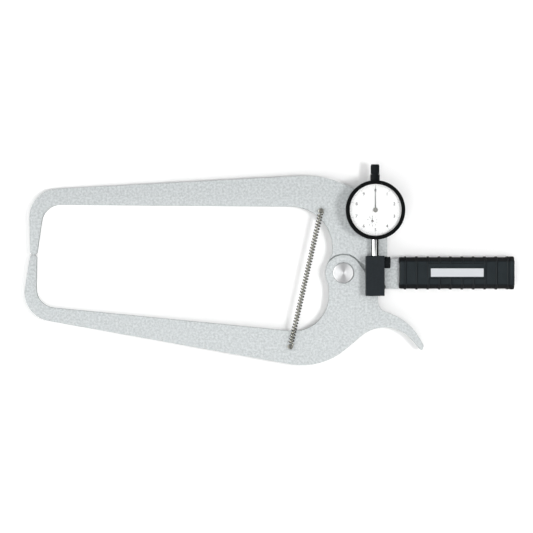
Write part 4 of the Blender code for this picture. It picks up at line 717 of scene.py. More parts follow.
def slab(outline, low, high):
    """A flat piece between two heights, from the (x, y) points round its outline."""
    count = len(outline)
    points = [(x, y, z) for z in (low, high) for x, y in outline]
    faces = [list(range(count - 1, -1, -1)), list(range(count, 2 * count))]
    faces += [[i, (i + 1) % count, (i + 1) % count + count, i + count] for i in range(count)]
    return from_points(points, faces)


def rod(radius, low, high, steps=48):
    return lathe([(0, high), (radius, high), (radius, low), (0, low)], steps)


# Satin chrome plate on turned brass.
satin_chrome = plain_finish("satin_chrome_plate", {"Metallic": 1.0}, 300, "#C9CBCC", "#D9DADB", (0.2, 0.34))

case_mesh = turned([
    (CASE_R, CASE_RIM, FINE), (CASE_R, GROOVE_HIGH, 0), (CASE_R - GROOVE_DEPTH, GROOVE_HIGH, 0),
    (CASE_R - GROOVE_DEPTH, GROOVE_LOW, 0), (CASE_R, GROOVE_LOW, 0), (CASE_R, CASE_REAR, CASE_EDGE),
    (CASE_IN_R, CASE_REAR, 0), (CASE_IN_R, CASE_RIM, 0),
], closed=True)
round_end = [radians(a) for a in range(90, 271, 12)]
nose = [(LUG_RING_R + LUG_R * cos(a), LUG_R * sin(a)) for a in round_end]
wall = (CASE_R + CASE_IN_R) / 2
lug_mesh = slab(nose + [(wall, -LUG_R), (wall, LUG_R)], LUG_LOW, LUG_TOP)
lug_mesh.transform(LUG_TURN)
case_mesh = combined(case_mesh, copies(lug_mesh, satin_chrome, 4, tau / 4), "UNION")
hole_mesh = rod(LUG_HOLE_R, LUG_LOW - PAST, LUG_TOP + PAST, 24)
hole_mesh.transform(LUG_PLACE)
case_mesh = combined(case_mesh, copies(hole_mesh, satin_chrome, 4, tau / 4))
case_mesh.transform(DIAL_PLACE)
neck_mesh = rod(NECK_HOLE_R, NECK_HOLE_LOW, NECK_HOLE_HIGH, 64)
neck_mesh.transform(STEM_AXIS)
gauge_case = show("gauge_case_chromed", (combined(case_mesh, neck_mesh), satin_chrome))
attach(gauge_case, "frame")
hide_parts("gauge_case")

# Back cover: a turned and satin chromed disc with two shallow steps, held by four slotted cheese
# head screws that sit in counterbores.
COVER_R = 0.0250
COVER_REAR = 0.0090
COVER_TOP = 0.0108
COVER_STEP_R = 0.0150
COVER_STEP = 0.0002
COVER_EDGE = 0.0006
SEAT_R = 0.0019
SEAT_TOP = 0.0100
SEAT_OVERLAP = 0.0001
COVER_HEAD_R = 0.0016
COVER_HEAD_LOW = 0.0092
COVER_HEAD_TOP = 0.0097
COVER_THREAD_R = 0.0008
COVER_THREAD_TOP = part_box("cover_screw_1")[1].z
DRIVER_SLOT_W = 0.0004
DRIVER_SLOT_TOP = 0.00945
DRIVER_SLOT_HALF = 0.003
DRIVER_SLOT_TURN = Matrix.Rotation(radians(35), 4, "Z")

cover_mesh = turned([
    (0, COVER_TOP, 0), (COVER_R, COVER_TOP, FINE), (COVER_R, COVER_REAR, COVER_EDGE),
    (COVER_STEP_R + COVER_STEP, COVER_REAR, 0), (COVER_STEP_R, COVER_REAR + COVER_STEP, 0),
    (0, COVER_REAR + COVER_STEP, 0),
])
for radius, low, high in (
    (SEAT_R, COVER_REAR - PAST, SEAT_TOP), (LUG_HOLE_R, SEAT_TOP - SEAT_OVERLAP, COVER_TOP + PAST),
):
    seat_mesh = rod(radius, low, high, 32)
    seat_mesh.transform(LUG_PLACE)
    cover_mesh = combined(cover_mesh, copies(seat_mesh, satin_chrome, 4, tau / 4))
cover_mesh.transform(DIAL_PLACE)
cover = show("back_cover_chromed", (cover_mesh, satin_chrome))
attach(cover, "frame")
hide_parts("back_cover")

head_mesh = turned([
    (0, COVER_THREAD_TOP, 0), (COVER_THREAD_R, COVER_THREAD_TOP, FINE), (COVER_THREAD_R, COVER_HEAD_TOP, 0),
    (COVER_HEAD_R, COVER_HEAD_TOP, 0), (COVER_HEAD_R, COVER_HEAD_LOW, FINE), (0, COVER_HEAD_LOW, 0),
], 32)
driver_slot = block(
    (-DRIVER_SLOT_HALF, -DRIVER_SLOT_W / 2, COVER_REAR - PAST),
    (DRIVER_SLOT_HALF, DRIVER_SLOT_W / 2, DRIVER_SLOT_TOP),
)
driver_slot.transform(DRIVER_SLOT_TURN)
head_mesh = combined(head_mesh, driver_slot)
head_mesh.transform(LUG_PLACE)
cover_screw_steel = turned_metal("bright_screw_steel", "#B4B6B7", "#CBCDCE", 0.3, 0.1)
head_meshes = copies(head_mesh, cover_screw_steel, 4, tau / 4)
head_meshes.transform(DIAL_PLACE)
cover_screws = show("cover_screws_slotted", (head_meshes, cover_screw_steel))
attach(cover_screws, "frame")
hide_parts("cover_screw_1", "cover_screw_2", "cover_screw_3", "cover_screw_4")

# Top bush: a blacked steel collar screwed into the case above the dial, waisted where it meets
# the case, with a thin spigot that carries the dust cap.
COLLAR_R = 0.0046
COLLAR_WAIST_R = 0.0043
COLLAR_SHANK_R = 0.0035
COLLAR_BORE_R = 0.0023
COLLAR_LOW = 0.0869
COLLAR_TOP = 0.0951
COLLAR_EDGE = 0.0004
WAIST_START = 0.0018
WAIST_END = 0.0024
COLLAR_SHANK_LOW = 0.0837
SPIGOT_R = 0.0030
SPIGOT_TOP = 0.0973

collar_mesh = turned([
    (SPIGOT_R, SPIGOT_TOP, FINE), (SPIGOT_R, COLLAR_TOP, 0), (COLLAR_R, COLLAR_TOP, COLLAR_EDGE),
    (COLLAR_R, COLLAR_LOW + WAIST_END, SOFT), (COLLAR_WAIST_R, COLLAR_LOW + WAIST_START, SOFT),
    (COLLAR_WAIST_R, COLLAR_LOW, 0), (COLLAR_SHANK_R, COLLAR_LOW, 0), (COLLAR_SHANK_R, COLLAR_SHANK_LOW, 0),
    (COLLAR_BORE_R, COLLAR_SHANK_LOW, 0), (COLLAR_BORE_R, SPIGOT_TOP, 0),
], 96, True)
collar_mesh.transform(STEM_AXIS)
collar = show("top_collar_blacked", (collar_mesh, black_oxide))
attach(collar, "frame")
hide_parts("top_collar")

# Dust cap: a blacked steel cap that screws over the top bush and keeps dirt off the end of the
# spindle. Its side is straight knurled, with a plain rounded crown.
CAP_R = 0.0042
CAP_HOLLOW_R = 0.0033
CAP_LOW = 0.0954
CAP_TOP = 0.1047
CAP_WALL = 0.0008
CAP_TEETH = 40
CAP_KNURL_DEPTH = 0.00015
CAP_KNURL_END = 0.0012
CROWN_INSET = 0.0002
CROWN_EDGE = 0.0009
CROWN_DEPTH = 0.0020

cap_mesh = knurled(CAP_R, CAP_LOW, CAP_TOP - CAP_KNURL_END, SOFT, CAP_TEETH, CAP_KNURL_DEPTH, 0, 1)
crown_mesh = turned([
    (0, CAP_TOP, 0), (CAP_R - CROWN_INSET, CAP_TOP, CROWN_EDGE),
    (CAP_R - CROWN_INSET, CAP_TOP - CROWN_DEPTH, 0), (0, CAP_TOP - CROWN_DEPTH, 0),
], 96)
cap_mesh = combined(cap_mesh, crown_mesh, "UNION")
cap_mesh = combined(cap_mesh, rod(CAP_HOLLOW_R, CAP_LOW - PAST, CAP_TOP - CAP_WALL, 64))
cap_mesh.transform(STEM_AXIS)
dust_cap = show("dust_cap_knurled", (cap_mesh, black_oxide))
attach(dust_cap, "frame")
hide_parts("dust_cap")

# Bezel: turned from aluminium tube and anodised black. A fine coin edge round its skirt gives
# the fingers grip, and a rolled lip above holds the crystal down.
BEZEL_R = 0.0285
BEZEL_LOW = 0.0210
BEZEL_TOP = 0.0300
BEZEL_SKIRT_IN_R = 0.0264
BEZEL_CAVITY_R = 0.0272
BEZEL_LEDGE = 0.0246
BEZEL_LIP_R = 0.0248
BEZEL_LIP_LOW = 0.0294
BEZEL_BEVEL = 0.0005
BEZEL_EDGE = 0.0007
COIN_LOW = 0.0215
COIN_HIGH = 0.0262
COIN_NICKS = 150
COIN_DEPTH = 0.0003
COIN_NICK_W = 0.00065

bezel_mesh = turned([
    (BEZEL_R, BEZEL_TOP, BEZEL_EDGE), (BEZEL_R, BEZEL_LOW, SOFT), (BEZEL_SKIRT_IN_R, BEZEL_LOW, SHARP),
    (BEZEL_SKIRT_IN_R, GROOVE_LOW, 0), (BEZEL_SKIRT_IN_R + GROOVE_DEPTH, GROOVE_LOW, 0),
    (BEZEL_SKIRT_IN_R + GROOVE_DEPTH, GROOVE_HIGH, 0), (BEZEL_SKIRT_IN_R, GROOVE_HIGH, 0),
    (BEZEL_SKIRT_IN_R, BEZEL_LEDGE, 0), (BEZEL_CAVITY_R, BEZEL_LEDGE, 0), (BEZEL_CAVITY_R, BEZEL_LIP_LOW, 0),
    (BEZEL_LIP_R, BEZEL_LIP_LOW, 0), (BEZEL_LIP_R + BEZEL_BEVEL, BEZEL_TOP, FINE),
], 240, True)
nick_mesh = slab([
    (BEZEL_R - COIN_DEPTH, 0), (BEZEL_R + COIN_DEPTH, -COIN_NICK_W), (BEZEL_R + COIN_DEPTH, COIN_NICK_W),
], COIN_LOW, COIN_HIGH)
bezel_mesh = combined(bezel_mesh, copies(nick_mesh, anodised, COIN_NICKS, tau / COIN_NICKS))
bezel_mesh.transform(DIAL_PLACE)

# Black anodised aluminium, turned: darker and more even than the milled block.
anodised_bezel = plain_finish(
    "black_anodised_turned_aluminium", {"Specular IOR Level": 0.06}, 600, "#060707", "#0E1011", (0.3, 0.42), 2
)

bezel = show("bezel_coin_edged", (bezel_mesh, anodised_bezel))
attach(bezel, "bezel")
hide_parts("bezel")

# Crystal: a flat disc cut from clear acrylic sheet, its rim polished and slightly rounded.
CRYSTAL_R = 0.0269
CRYSTAL_LOW = 0.0279
CRYSTAL_TOP = 0.0291

# Clear acrylic: nearly unseen from above, with a faint sheen and a few fine rubs.
acrylic, tree, shader, where = new_finish("clear_acrylic", {"IOR": 1.49, "Roughness": 0.03, "Alpha": 0.1})
rubs = add_node(tree, "ShaderNodeTexNoise", {"Vector": where, "Scale": 250, "Detail": 3})
clear = add_node(tree, "ShaderNodeMapRange", {"Value": rubs, "To Min": 0.05, "To Max": 0.09})
tree.links.new(clear, shader.inputs["Alpha"])

crystal_mesh = turned([
    (0, CRYSTAL_TOP, 0), (CRYSTAL_R, CRYSTAL_TOP, SOFT), (CRYSTAL_R, CRYSTAL_LOW, SHARP), (0, CRYSTAL_LOW, 0),
])
crystal_mesh.transform(DIAL_PLACE)
crystal = show("crystal_clear", (crystal_mesh, acrylic))
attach(crystal, "bezel")
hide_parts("crystal")

# Outer dial: a thin aluminium ring printed white, which turns with the bezel. It carries a
# hundred black graduations and the numbers of each tenth.
DIAL_TOP = 0.0253
DIAL_LOW = 0.0249
DIAL_R = 0.0269
DIAL_SPLIT_R = 0.0170
DIAL_SPLIT = 0.00003
INK = 0.00002
TICK_OUT_R = 0.0245
TICKS = ((0.00018, 0.0028), (0.00010, 0.0016), (0.00012, 0.0022))
NUMBER_R = 0.0190
NUMBER_SIZE = 0.0040
NUMBER_WEIGHT = 0.02

# Screen printed enamel: a warm white and a soft black, both slightly satin.
dial_white = plain_finish("screen_printed_white", {"Roughness": 0.5}, 150, "#FBFCFB", "#FEFEFE", detail=2)
dial_ink = plain_finish("screen_printed_black", {"Roughness": 0.6}, 900, "#2E3032", "#424446", detail=2)


def merged(meshes):
    work = bmesh.new()
    for mesh in meshes:
        work.from_mesh(mesh)
    return to_mesh(work, "merged")


def tick(width, inner, outer, turn=0.0):
    """One printed line on the dial, from an inner to an outer radius, turned from straight up."""
    mesh = slab(
        [(-width / 2, inner), (width / 2, inner), (width / 2, outer), (-width / 2, outer)],
        DIAL_TOP, DIAL_TOP + INK,
    )
    mesh.transform(Matrix.Rotation(-turn, 4, "Z"))
    return mesh


def numbers(size, radius):
    """The printed numbers 0 to 9 round a dial, upright, each with its middle on the radius."""
    meshes = []
    for k in range(10):
        curve = bpy.data.curves.new("number", "FONT")
        curve.body = str(k)
        curve.size = size
        curve.offset = size * NUMBER_WEIGHT
        curve.extrude = INK / 2
        mesh = settled(put("number", curve))
        angle = pi / 2 - tau * k / 10
        spots = [vert.co.copy() for vert in mesh.vertices]
        middle = [(min(s[i] for s in spots) + max(s[i] for s in spots)) / 2 for i in (0, 1)]
        x, y = radius * cos(angle) - middle[0], radius * sin(angle) - middle[1]
        mesh.transform(Matrix.Translation((x, y, DIAL_TOP + INK / 2)))
        meshes.append(mesh)
    return meshes


ring_in_r = DIAL_SPLIT_R + DIAL_SPLIT
ring_mesh = lathe([(DIAL_R, DIAL_TOP), (DIAL_R, DIAL_LOW), (ring_in_r, DIAL_LOW), (ring_in_r, DIAL_TOP)])
tenth = []
for k in range(10):
    width, length = TICKS[0 if k == 0 else 2 if k == 5 else 1]
    tenth.append(tick(width, TICK_OUT_R - length, TICK_OUT_R, tau * k / 100))
printed = [copies(merged(tenth), dial_ink, 10, tau / 10)] + numbers(NUMBER_SIZE, NUMBER_R)
print_mesh = merged(printed)
ring_mesh.transform(DIAL_PLACE)
print_mesh.transform(DIAL_PLACE)
outer_dial = show("outer_dial_printed", (ring_mesh, dial_white), (print_mesh, dial_ink))
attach(outer_dial, "bezel")
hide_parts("outer_dial")

# Inner dial: the fixed disc inside that ring, on two feet riveted through the movement's front
# plate. Below its middle is the small dial that counts whole turns.
ARBOR_HOLE_R = 0.0012
SMALL_DIAL = (-0.002847, -0.010625)
SMALL_HOLE_R = 0.0010
SMALL_TICKS_R = (0.0026, 0.0033)
SMALL_TICK_W = 0.00022
SMALL_NUMBER_R = 0.0045
SMALL_NUMBER_SIZE = 0.0019
FOOT_R = 0.0006
FOOT_SUNK = 0.0002
FEET = ((0.0130, -0.0050), (-0.0130, 0.0050))
FOOT_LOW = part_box("inner_dial")[0].z

disc_r = DIAL_SPLIT_R - DIAL_SPLIT
disc_mesh = lathe([
    (disc_r, DIAL_TOP), (disc_r, DIAL_LOW), (ARBOR_HOLE_R, DIAL_LOW), (ARBOR_HOLE_R, DIAL_TOP),
])
arbor_hole = rod(SMALL_HOLE_R, DIAL_LOW - PAST, DIAL_TOP + PAST, 32)
arbor_hole.transform(Matrix.Translation((*SMALL_DIAL, 0)))
disc_mesh = combined(disc_mesh, arbor_hole)
for x, y in FEET:
    foot = rod(FOOT_R, FOOT_LOW, DIAL_TOP - FOOT_SUNK, 24)
    foot.transform(Matrix.Translation((x, y, 0)))
    disc_mesh = combined(disc_mesh, foot, "UNION")
small_print = [copies(tick(SMALL_TICK_W, *SMALL_TICKS_R), dial_ink, 10, tau / 10)]
small_print = merged(small_print + numbers(SMALL_NUMBER_SIZE, SMALL_NUMBER_R))
small_print.transform(DIAL_PLACE @ Matrix.Translation((*SMALL_DIAL, 0)))
disc_mesh.transform(DIAL_PLACE)
inner_dial = show("inner_dial_printed", (disc_mesh, dial_white), (small_print, dial_ink))
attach(inner_dial, "frame")
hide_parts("inner_dial")

# Pointers: stamped from thin steel and blued dull. Each is riveted to a small turned hub that
# is pushed on its arbor.
POINTER_HUB_R = 0.0023
POINTER_HUB_LOW = 0.0265
POINTER_HUB_TOP = 0.0275
POINTER_BORE_R = 0.0011
POINTER_CAP = 0.0003
POINTER_HOLE_R = 0.0013
POINTER_TAIL = 0.0011
POINTER_LOW = 0.0267
POINTER_T = 0.0002
POINTER_LENGTH = 0.0221
POINTER_ROOT_W = 0.0011
POINTER_TIP_W = 0.0004
SMALL_HUB_R = 0.0011
SMALL_HUB_LOW = 0.0257
SMALL_HUB_TOP = 0.0263
SMALL_BORE_R = 0.0007
SMALL_BLADE_HOLE_R = 0.0008
SMALL_LOW = 0.0259
SMALL_LENGTH = 0.0042
SMALL_TAIL = 0.0018
SMALL_ROOT_W = 0.0005
SMALL_TIP_W = 0.00025


def hand(low, root_w, tip_w, length, tail):
    """A flat tapered blade that points up +Y, with a tail behind the hub."""
    return slab([
        (-root_w / 2, -tail), (root_w / 2, -tail), (root_w / 2, 0), (tip_w / 2, length - tip_w / 2),
        (0, length), (-tip_w / 2, length - tip_w / 2), (-root_w / 2, 0),
    ], low, low + POINTER_T)


def turned_hub(radius, bore, low, high, cap=0.0):
    """The hub with its rounded edge: bored right through, or capped with a thickness."""
    inside = [(0, high, 0)] if cap else [(bore, high, 0)]
    below = [(bore, high - cap, 0), (0, high - cap, 0)] if cap else []
    return turned(inside + [(radius, high, SOFT), (radius, low, 0), (bore, low, 0)] + below, 48)


def riveted(hub, blade, hole_r, low):
    """A hub and its blade as one piece, the blade on a hole over the hub's bore."""
    return combined(hub, combined(blade, rod(hole_r, low - PAST, low + PAST, 32)), "UNION")


# Steel blued dull, a mid grey under the crystal. The hub's blueing is turned away down to the
# steel.
blued, tree, shader, where = new_finish("dull_blued_steel", {"Metallic": 0.5, "Roughness": 0.45})
stain = add_node(tree, "ShaderNodeTexNoise", {"Vector": where, "Scale": 700, "Detail": 2})
shade = coloured(tree, shader, stain, "#4E5252", "#686C6B")
middle = (*DIAL_PLACE.translation.xy, 0)
aside = add_node(tree, "ShaderNodeVectorMath", {0: where, 1: middle}, operation="SUBTRACT")
aside = add_node(tree, "ShaderNodeVectorMath", {0: aside, 1: (1, 1, 0)}, operation="MULTIPLY")
reach = add_node(tree, "ShaderNodeVectorMath", {0: aside}, "Value", operation="LENGTH")
on_hub = add_node(tree, "ShaderNodeMath", {0: reach, 1: POINTER_HUB_R}, operation="LESS_THAN")
coloured(tree, shader, on_hub, shade, "#80817A")

hub_mesh = turned_hub(POINTER_HUB_R, POINTER_BORE_R, POINTER_HUB_LOW, POINTER_HUB_TOP, POINTER_CAP)
blade_mesh = hand(POINTER_LOW, POINTER_ROOT_W, POINTER_TIP_W, POINTER_LENGTH, POINTER_TAIL)
pointer_mesh = riveted(hub_mesh, blade_mesh, POINTER_HOLE_R, POINTER_LOW)
pointer_mesh.transform(DIAL_PLACE)
pointer = show("main_pointer_blued", (pointer_mesh, blued))
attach(pointer, "centre_arbor")
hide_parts("main_pointer")

hub_mesh = turned_hub(SMALL_HUB_R, SMALL_BORE_R, SMALL_HUB_LOW, SMALL_HUB_TOP)
blade_mesh = hand(SMALL_LOW, SMALL_ROOT_W, SMALL_TIP_W, SMALL_LENGTH, SMALL_TAIL)
small_mesh = riveted(hub_mesh, blade_mesh, SMALL_BLADE_HOLE_R, SMALL_LOW)
small_mesh.transform(DIAL_PLACE @ Matrix.Translation((*SMALL_DIAL, 0)))
small_pointer = show("small_pointer_blued", (small_mesh, blued))
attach(small_pointer, "first_arbor")
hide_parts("small_pointer")

# Grip sleeve: moulded in hard black plastic, eight sided with soft corners, pushed on the tang.
# Ten ribs run round it, its rear end is a flange, and a raised panel frames the label.
GRIP_START = 0.054039
GRIP_END = 0.164939
GRIP_HALF_W = 0.01525
GRIP_HALF_T = 0.0105
GRIP_MIDDLE = 0.0045
GRIP_CORNER = 0.0043
GRIP_SOFT = 0.0009
GRIP_EDGE = 0.0012
CORNER_SHRINK = 0.586
RIB_PROUD = 0.0008
RIB_FOOT = 0.0004
RIB_FIRST = 0.0057
RIB_PITCH = 0.0110
RIB_HALF_W = 0.0011
RIBS = 10
FLANGE_LENGTH = 0.0040
FLANGE_EASE = 0.0004
PANEL_LOW = (0.081739, -0.0055, 0.0140)
PANEL_HIGH = (0.137339, 0.0095, 0.0160)
PANEL_EDGE = 0.0009
PAD_LOW = (0.081739, -0.0080, -0.0070)
PAD_HIGH = (0.137339, 0.0080, -0.0050)
PAD_EDGE = 0.0004
POCKET_LOW = (0.050000, -0.0098, FINE)
POCKET_HIGH = (0.148039, 0.0098, 0.0088)
LABEL_MIDDLE = (0.109539, 0.0003)
LABEL_HALF = (0.02545, 0.00405)
LABEL_CORNER = 0.0006
SEAT_GAP = 0.0003
SEAT_FLOOR = 0.0156


def grip_outline(inset):
    """The eight sided section as (y, z) points, grown or shrunk by an inset."""
    half_y, half_z, cut = GRIP_HALF_W - inset, GRIP_HALF_T - inset, GRIP_CORNER - inset * CORNER_SHRINK
    corners = []
    for side_y, side_z, swap in ((1, -1, 0), (1, 1, 1), (-1, 1, 0), (-1, -1, 1)):
        pair = [
            (side_y * (half_y - cut), side_z * half_z, GRIP_SOFT),
            (side_y * half_y, side_z * (half_z - cut), GRIP_SOFT),
        ]
        corners += pair[::-1] if swap else pair
    return softened(corners)


def lofted(stations):
    """A solid along +X through the grip's section, from (x, inset) pairs."""
    points, faces = [], []
    for x, inset in stations:
        points += [(x, p.x, p.y + GRIP_MIDDLE) for p in grip_outline(inset)]
    count = len(grip_outline(0))
    for k in range(len(stations) - 1):
        for i in range(count):
            j = (i + 1) % count
            faces.append([k * count + i, k * count + j, (k + 1) * count + j, (k + 1) * count + i])
    last = (len(stations) - 1) * count
    faces += [list(range(count - 1, -1, -1)), list(range(last, last + count))]
    work = bmesh.new()
    work.from_mesh(from_points(points, faces))
    bmesh.ops.recalc_face_normals(work, faces=work.faces)
    return to_mesh(work, "lofted")


def rounded_box(half, corner, low, high):
    """A flat rounded box round the label's middle."""
    corners = [(x, y, corner) for x, y in (
        (-half[0], -half[1]), (half[0], -half[1]), (half[0], half[1]), (-half[0], half[1])
    )]
    mesh = slab(softened(corners), low, high)
    mesh.transform(Matrix.Translation((*LABEL_MIDDLE, 0)))
    return mesh


# Moulded ABS: near black with a cool cast. The mould is spark eroded, which leaves a grain that
# greys the faces. Its walls are painted a deeper black: painted shade.
moulded, tree, shader, where = new_finish("moulded_black_abs", {"IOR": 1.5, "Specular IOR Level": 0.2})
grain = add_node(tree, "ShaderNodeTexNoise", {"Vector": where, "Scale": 3500, "Detail": 2})
cloud = add_node(tree, "ShaderNodeTexNoise", {"Vector": where, "Scale": 120, "Detail": 3})
shade = coloured(tree, shader, cloud, "#161C1F", "#21282B")
# Painted shade: the walls are mixed towards a deeper black.
coloured(tree, shader, wall_share(tree, 0.96, 0.7), shade, "#06080A")
textured(tree, shader, grain, (0.42, 0.58), (0.2, 0.00004))

flange = GRIP_END - FLANGE_LENGTH
body_mesh = lofted([
    (GRIP_START, GRIP_EDGE), (GRIP_START + GRIP_EDGE * 0.3, GRIP_EDGE * 0.3), (GRIP_START + GRIP_EDGE, 0),
    (flange - FLANGE_EASE, 0), (flange - FLANGE_EASE / 4, -RIB_PROUD * 0.7), (flange + FLANGE_EASE, -RIB_PROUD),
    (GRIP_END - GRIP_EDGE, -RIB_PROUD), (GRIP_END - GRIP_EDGE * 0.3, GRIP_EDGE * 0.3 - RIB_PROUD),
    (GRIP_END, GRIP_EDGE - RIB_PROUD),
])
rib = GRIP_START + RIB_FIRST
rib_mesh = lofted([(rib + RIB_HALF_W * share, inset) for share, inset in (
    (-1, RIB_FOOT), (-0.8, -RIB_PROUD * 0.55), (-0.35, -RIB_PROUD),
    (0.35, -RIB_PROUD), (0.8, -RIB_PROUD * 0.55), (1, RIB_FOOT),
)])
grip_mesh = combined(body_mesh, copies(rib_mesh, moulded, RIBS, step=(RIB_PITCH, 0, 0)), "UNION")
for low, high, edge in ((PANEL_LOW, PANEL_HIGH, PANEL_EDGE), (PAD_LOW, PAD_HIGH, PAD_EDGE)):
    grip_mesh = combined(grip_mesh, block(low, high, edge), "UNION")
grip_mesh = combined(grip_mesh, block(POCKET_LOW, POCKET_HIGH))
seat_half = (LABEL_HALF[0] + SEAT_GAP, LABEL_HALF[1] + SEAT_GAP)
grip_mesh = combined(grip_mesh, rounded_box(seat_half, LABEL_CORNER, SEAT_FLOOR, PANEL_HIGH[2] + PAST))
grip = show("grip_sleeve_moulded", (grip_mesh, moulded))
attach(grip, "frame")
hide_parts("grip_sleeve")

# Label plate: thin aluminium sheet, brushed along its length and clear anodised, glued into its
# seat on the grip. It is left bare.
LABEL_LOW = 0.0159
LABEL_TOP = 0.0165

brushed, tree, shader, where = new_finish("brushed_clear_anodised_aluminium", {"Metallic": 0.6})
stretched = add_node(tree, "ShaderNodeMapping", {"Vector": where, "Scale": (60, 9000, 60)})
stroke = add_node(tree, "ShaderNodeTexNoise", {"Vector": stretched, "Scale": 1, "Detail": 2})
coloured(tree, shader, stroke, "#D0D3D8", "#E0E3E6")
textured(tree, shader, stroke, (0.28, 0.45), (0.15, 0.00002))

label_top = LABEL_TOP - SHARP
label_mesh = rounded_box(LABEL_HALF, LABEL_CORNER, LABEL_LOW, label_top)
work = bmesh.new()
work.from_mesh(label_mesh)
rim = [edge for edge in work.edges if all(abs(vert.co.z - label_top) < JOIN_WITHIN for vert in edge.verts)]
bmesh.ops.bevel(work, geom=rim, offset=SHARP, segments=2, profile=0.5, affect="EDGES")
label = show("label_plate_brushed", (to_mesh(work, "label"), brushed))
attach(label, "frame")
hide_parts("label_plate")

# Working parts out of sight: plates and wheels of brass, arbors and pins of ground steel, hair
# spring and return spring of fine wire, rubber gaskets. They keep their own shape and get the
# finish of the real material.
METAL = {"Metallic": 1.0}
rolled_brass = plain_finish("rolled_brass_sheet", METAL, 400, "#B08E45", "#C9A75C", (0.26, 0.38))
ground_steel = plain_finish("ground_tool_steel", METAL, 700, "#A9ABAC", "#C6C8C9", (0.19, 0.31))
spring_wire = plain_finish("hard_drawn_spring_wire", METAL, 900, "#8A8C8C", "#A8AAAA", (0.29, 0.41))
nitrile = plain_finish("black_nitrile_rubber", {}, 500, "#17181A", "#232426", (0.64, 0.76))
for material, names in (
    (rolled_brass, (
        "pivot_bush", "clamp_pad", "rear_plate", "front_plate", "pinion_bridge", "first_gear", "takeup_gear",
        "hairspring_stud", *(f"movement_pillar_{k}" for k in range(1, 5)),
    )),
    (ground_steel, (
        "contact_pin", "contact_point", "spindle", "guide_pin", "spring_peg", "rack_pinion", "centre_pinion",
        "takeup_arbor", "return_spring_anchor", *(f"movement_screw_{k}" for k in range(1, 5)),
    )),
    (spring_wire, ("return_spring", "hairspring", "bezel_wire")),
    (nitrile, ("cover_gasket", "crystal_gasket")),
):
    for name in names:
        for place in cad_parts[name].material_slots:
            place.material = material

# Stage: a white sheet under the tool, which rests on its jaws' end and the back of its grip, three
# soft lamps, and a pale sky with a dark slat overhead and dark sides, which only metal mirrors.
FLOOR_Z = -0.0058
FLOOR_SLOPE = -0.0199
FLOOR_HALF = 3.0
SHEET_LIFT = 0.1
FAR_LIFT = 0.9
LIFT_FROM = 0.1
LIFT_TO = 1.2
SKY = 0.52
OVERHEAD = 1.0
BANKS = 2.8
ENDS = -2.0
DARK_RIGHT = -1.0
LEAST_BANK = 0.1
HORIZON = (0.02, 0.12)
BELOW = 0.04
LEFT_TO_RIGHT = (1.15, 0.8)
SLAT = 0.22
SLAT_EDGES = {"left": (-0.52, -0.42), "right": (0.60, 0.50), "ends": (0.10, 0.05)}
PHOTO_CAMERA = (-0.0745, 0.0062, 2.2)
PHOTO_ANGLE = 2 * atan(0.25797 / 2.1915)
LAMP_AIM = Vector((-0.05, 0.0, 0.0))
LAMPS = (
    ("key_lamp", (0.50, -0.03, 1.12), 0.26, 6.3),
    ("fill_lamp", (-0.55, -0.55, 0.95), 0.7, 2.7),
    ("top_lamp", (-0.18, -0.20, 1.5), 0.6, 4.5),
)

sheet, tree, shader, where = new_finish(
    "matt_white_sheet", {"Roughness": 1.0, "Specular IOR Level": 0.0, "Emission Color": (1, 1, 1, 1)}
)
fibre = add_node(tree, "ShaderNodeTexNoise", {"Vector": where, "Scale": 40, "Detail": 2})
coloured(tree, shader, fibre, (0.87, 0.87, 0.87, 1), (0.89, 0.89, 0.89, 1))
rays = add_node(tree, "ShaderNodeLightPath", out=None)
seen = rays["Is Camera Ray"]
for ray in ("Is Glossy Ray", "Is Transmission Ray"):
    seen = add_node(tree, "ShaderNodeMath", {0: seen, 1: rays[ray]}, operation="MAXIMUM")
# Painted light: the sheet glows weakly near the middle and strongly far out, which washes out shadows far from
# the middle.
far = add_node(tree, "ShaderNodeVectorMath", {0: where}, "Value", operation="LENGTH")
lift = add_node(tree, "ShaderNodeMapRange", {
    "Value": far, "From Min": LIFT_FROM, "From Max": LIFT_TO, "To Min": SHEET_LIFT, "To Max": FAR_LIFT,
})
lift = add_node(tree, "ShaderNodeMath", {0: seen, 1: lift}, operation="MULTIPLY")
tree.links.new(lift, shader.inputs["Emission Strength"])
floor_mesh = from_points([
    (x * FLOOR_HALF, y * FLOOR_HALF, FLOOR_Z + FLOOR_SLOPE * x * FLOOR_HALF)
    for x, y in ((-1, -1), (1, -1), (1, 1), (-1, 1))
], [[0, 1, 2, 3]])
floor_mesh.materials.append(sheet)
floor = put("floor", floor_mesh)

world = bpy.data.worlds.new("studio")
bpy.context.scene.world = world
world.use_nodes = True
tree = world.node_tree
rays = add_node(tree, "ShaderNodeLightPath", out=None)
towards = add_node(tree, "ShaderNodeTexCoord", out="Generated")
x, y, z = add_node(tree, "ShaderNodeSeparateXYZ", {0: towards}, None)
rightwards = add_node(tree, "ShaderNodeMath", {0: x, 1: 0.0}, operation="MAXIMUM")
height = add_node(tree, "ShaderNodeMath", {0: rightwards, 1: DARK_RIGHT, 2: z}, operation="MULTIPLY_ADD")
above = add_node(tree, "ShaderNodeMapRange", {"Value": height, "From Min": HORIZON[0], "From Max": HORIZON[1]})
across = add_node(tree, "ShaderNodeMath", {0: x}, operation="ABSOLUTE")
endways = add_node(tree, "ShaderNodeMath", {0: y}, operation="ABSOLUTE")
banks = add_node(tree, "ShaderNodeMath", {0: across, 1: BANKS, 2: OVERHEAD}, operation="MULTIPLY_ADD")
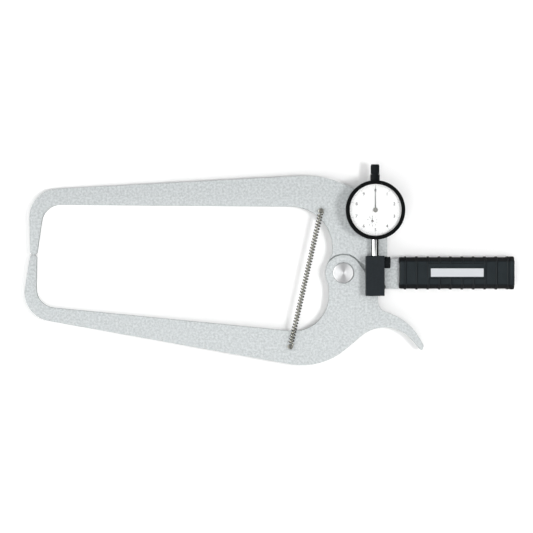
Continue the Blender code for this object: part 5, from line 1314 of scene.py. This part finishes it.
banks = add_node(tree, "ShaderNodeMath", {0: endways, 1: ENDS, 2: banks}, operation="MULTIPLY_ADD")
banks = add_node(tree, "ShaderNodeMath", {0: banks, 1: LEAST_BANK}, operation="MAXIMUM")
slat = 1.0
for place, name in ((x, "left"), (x, "right"), (endways, "ends")):
    start, end = SLAT_EDGES[name]
    side = add_node(tree, "ShaderNodeMapRange", {"Value": place, "From Min": start, "From Max": end})
    slat = add_node(tree, "ShaderNodeMath", {0: slat, 1: side}, operation="MULTIPLY")
banks = add_node(tree, "ShaderNodeMix", {0: slat, 2: banks, 3: SLAT})
sideways = add_node(tree, "ShaderNodeMapRange", {
    "Value": x, "From Min": -0.5, "From Max": 0.5, "To Min": LEFT_TO_RIGHT[0], "To Max": LEFT_TO_RIGHT[1],
})
mirrored = add_node(tree, "ShaderNodeMath", {0: banks, 1: sideways}, operation="MULTIPLY")
mirrored = add_node(tree, "ShaderNodeMath", {0: mirrored, 1: above, 2: BELOW}, operation="MULTIPLY_ADD")
light = add_node(tree, "ShaderNodeMix", {0: rays["Is Glossy Ray"], 2: SKY, 3: mirrored})
through = add_node(
    tree, "ShaderNodeMath", {0: rays["Is Camera Ray"], 1: rays["Is Transmission Ray"]}, operation="MAXIMUM"
)
strength = add_node(tree, "ShaderNodeMix", {0: through, 2: light, 3: 1.0})
background = tree.nodes["Background"]
background.inputs["Color"].default_value = (1, 1, 1, 1)
tree.links.new(strength, background.inputs["Strength"])

for name, spot, size, power in LAMPS:
    lamp = bpy.data.lights.new(name, "AREA")
    lamp.shape = "DISK"
    lamp.size = size
    lamp.energy = power
    holder = put(name, lamp)
    holder.location = spot
    holder.rotation_euler = (LAMP_AIM - Vector(spot)).to_track_quat("-Z", "Y").to_euler()
    holder.visible_glossy = False

camera_data = bpy.data.cameras.new("camera")
camera_data.angle = PHOTO_ANGLE
camera = put("camera", camera_data)
camera.location = PHOTO_CAMERA
bpy.context.scene.camera = camera
bpy.context.scene.view_settings.view_transform = "Standard"
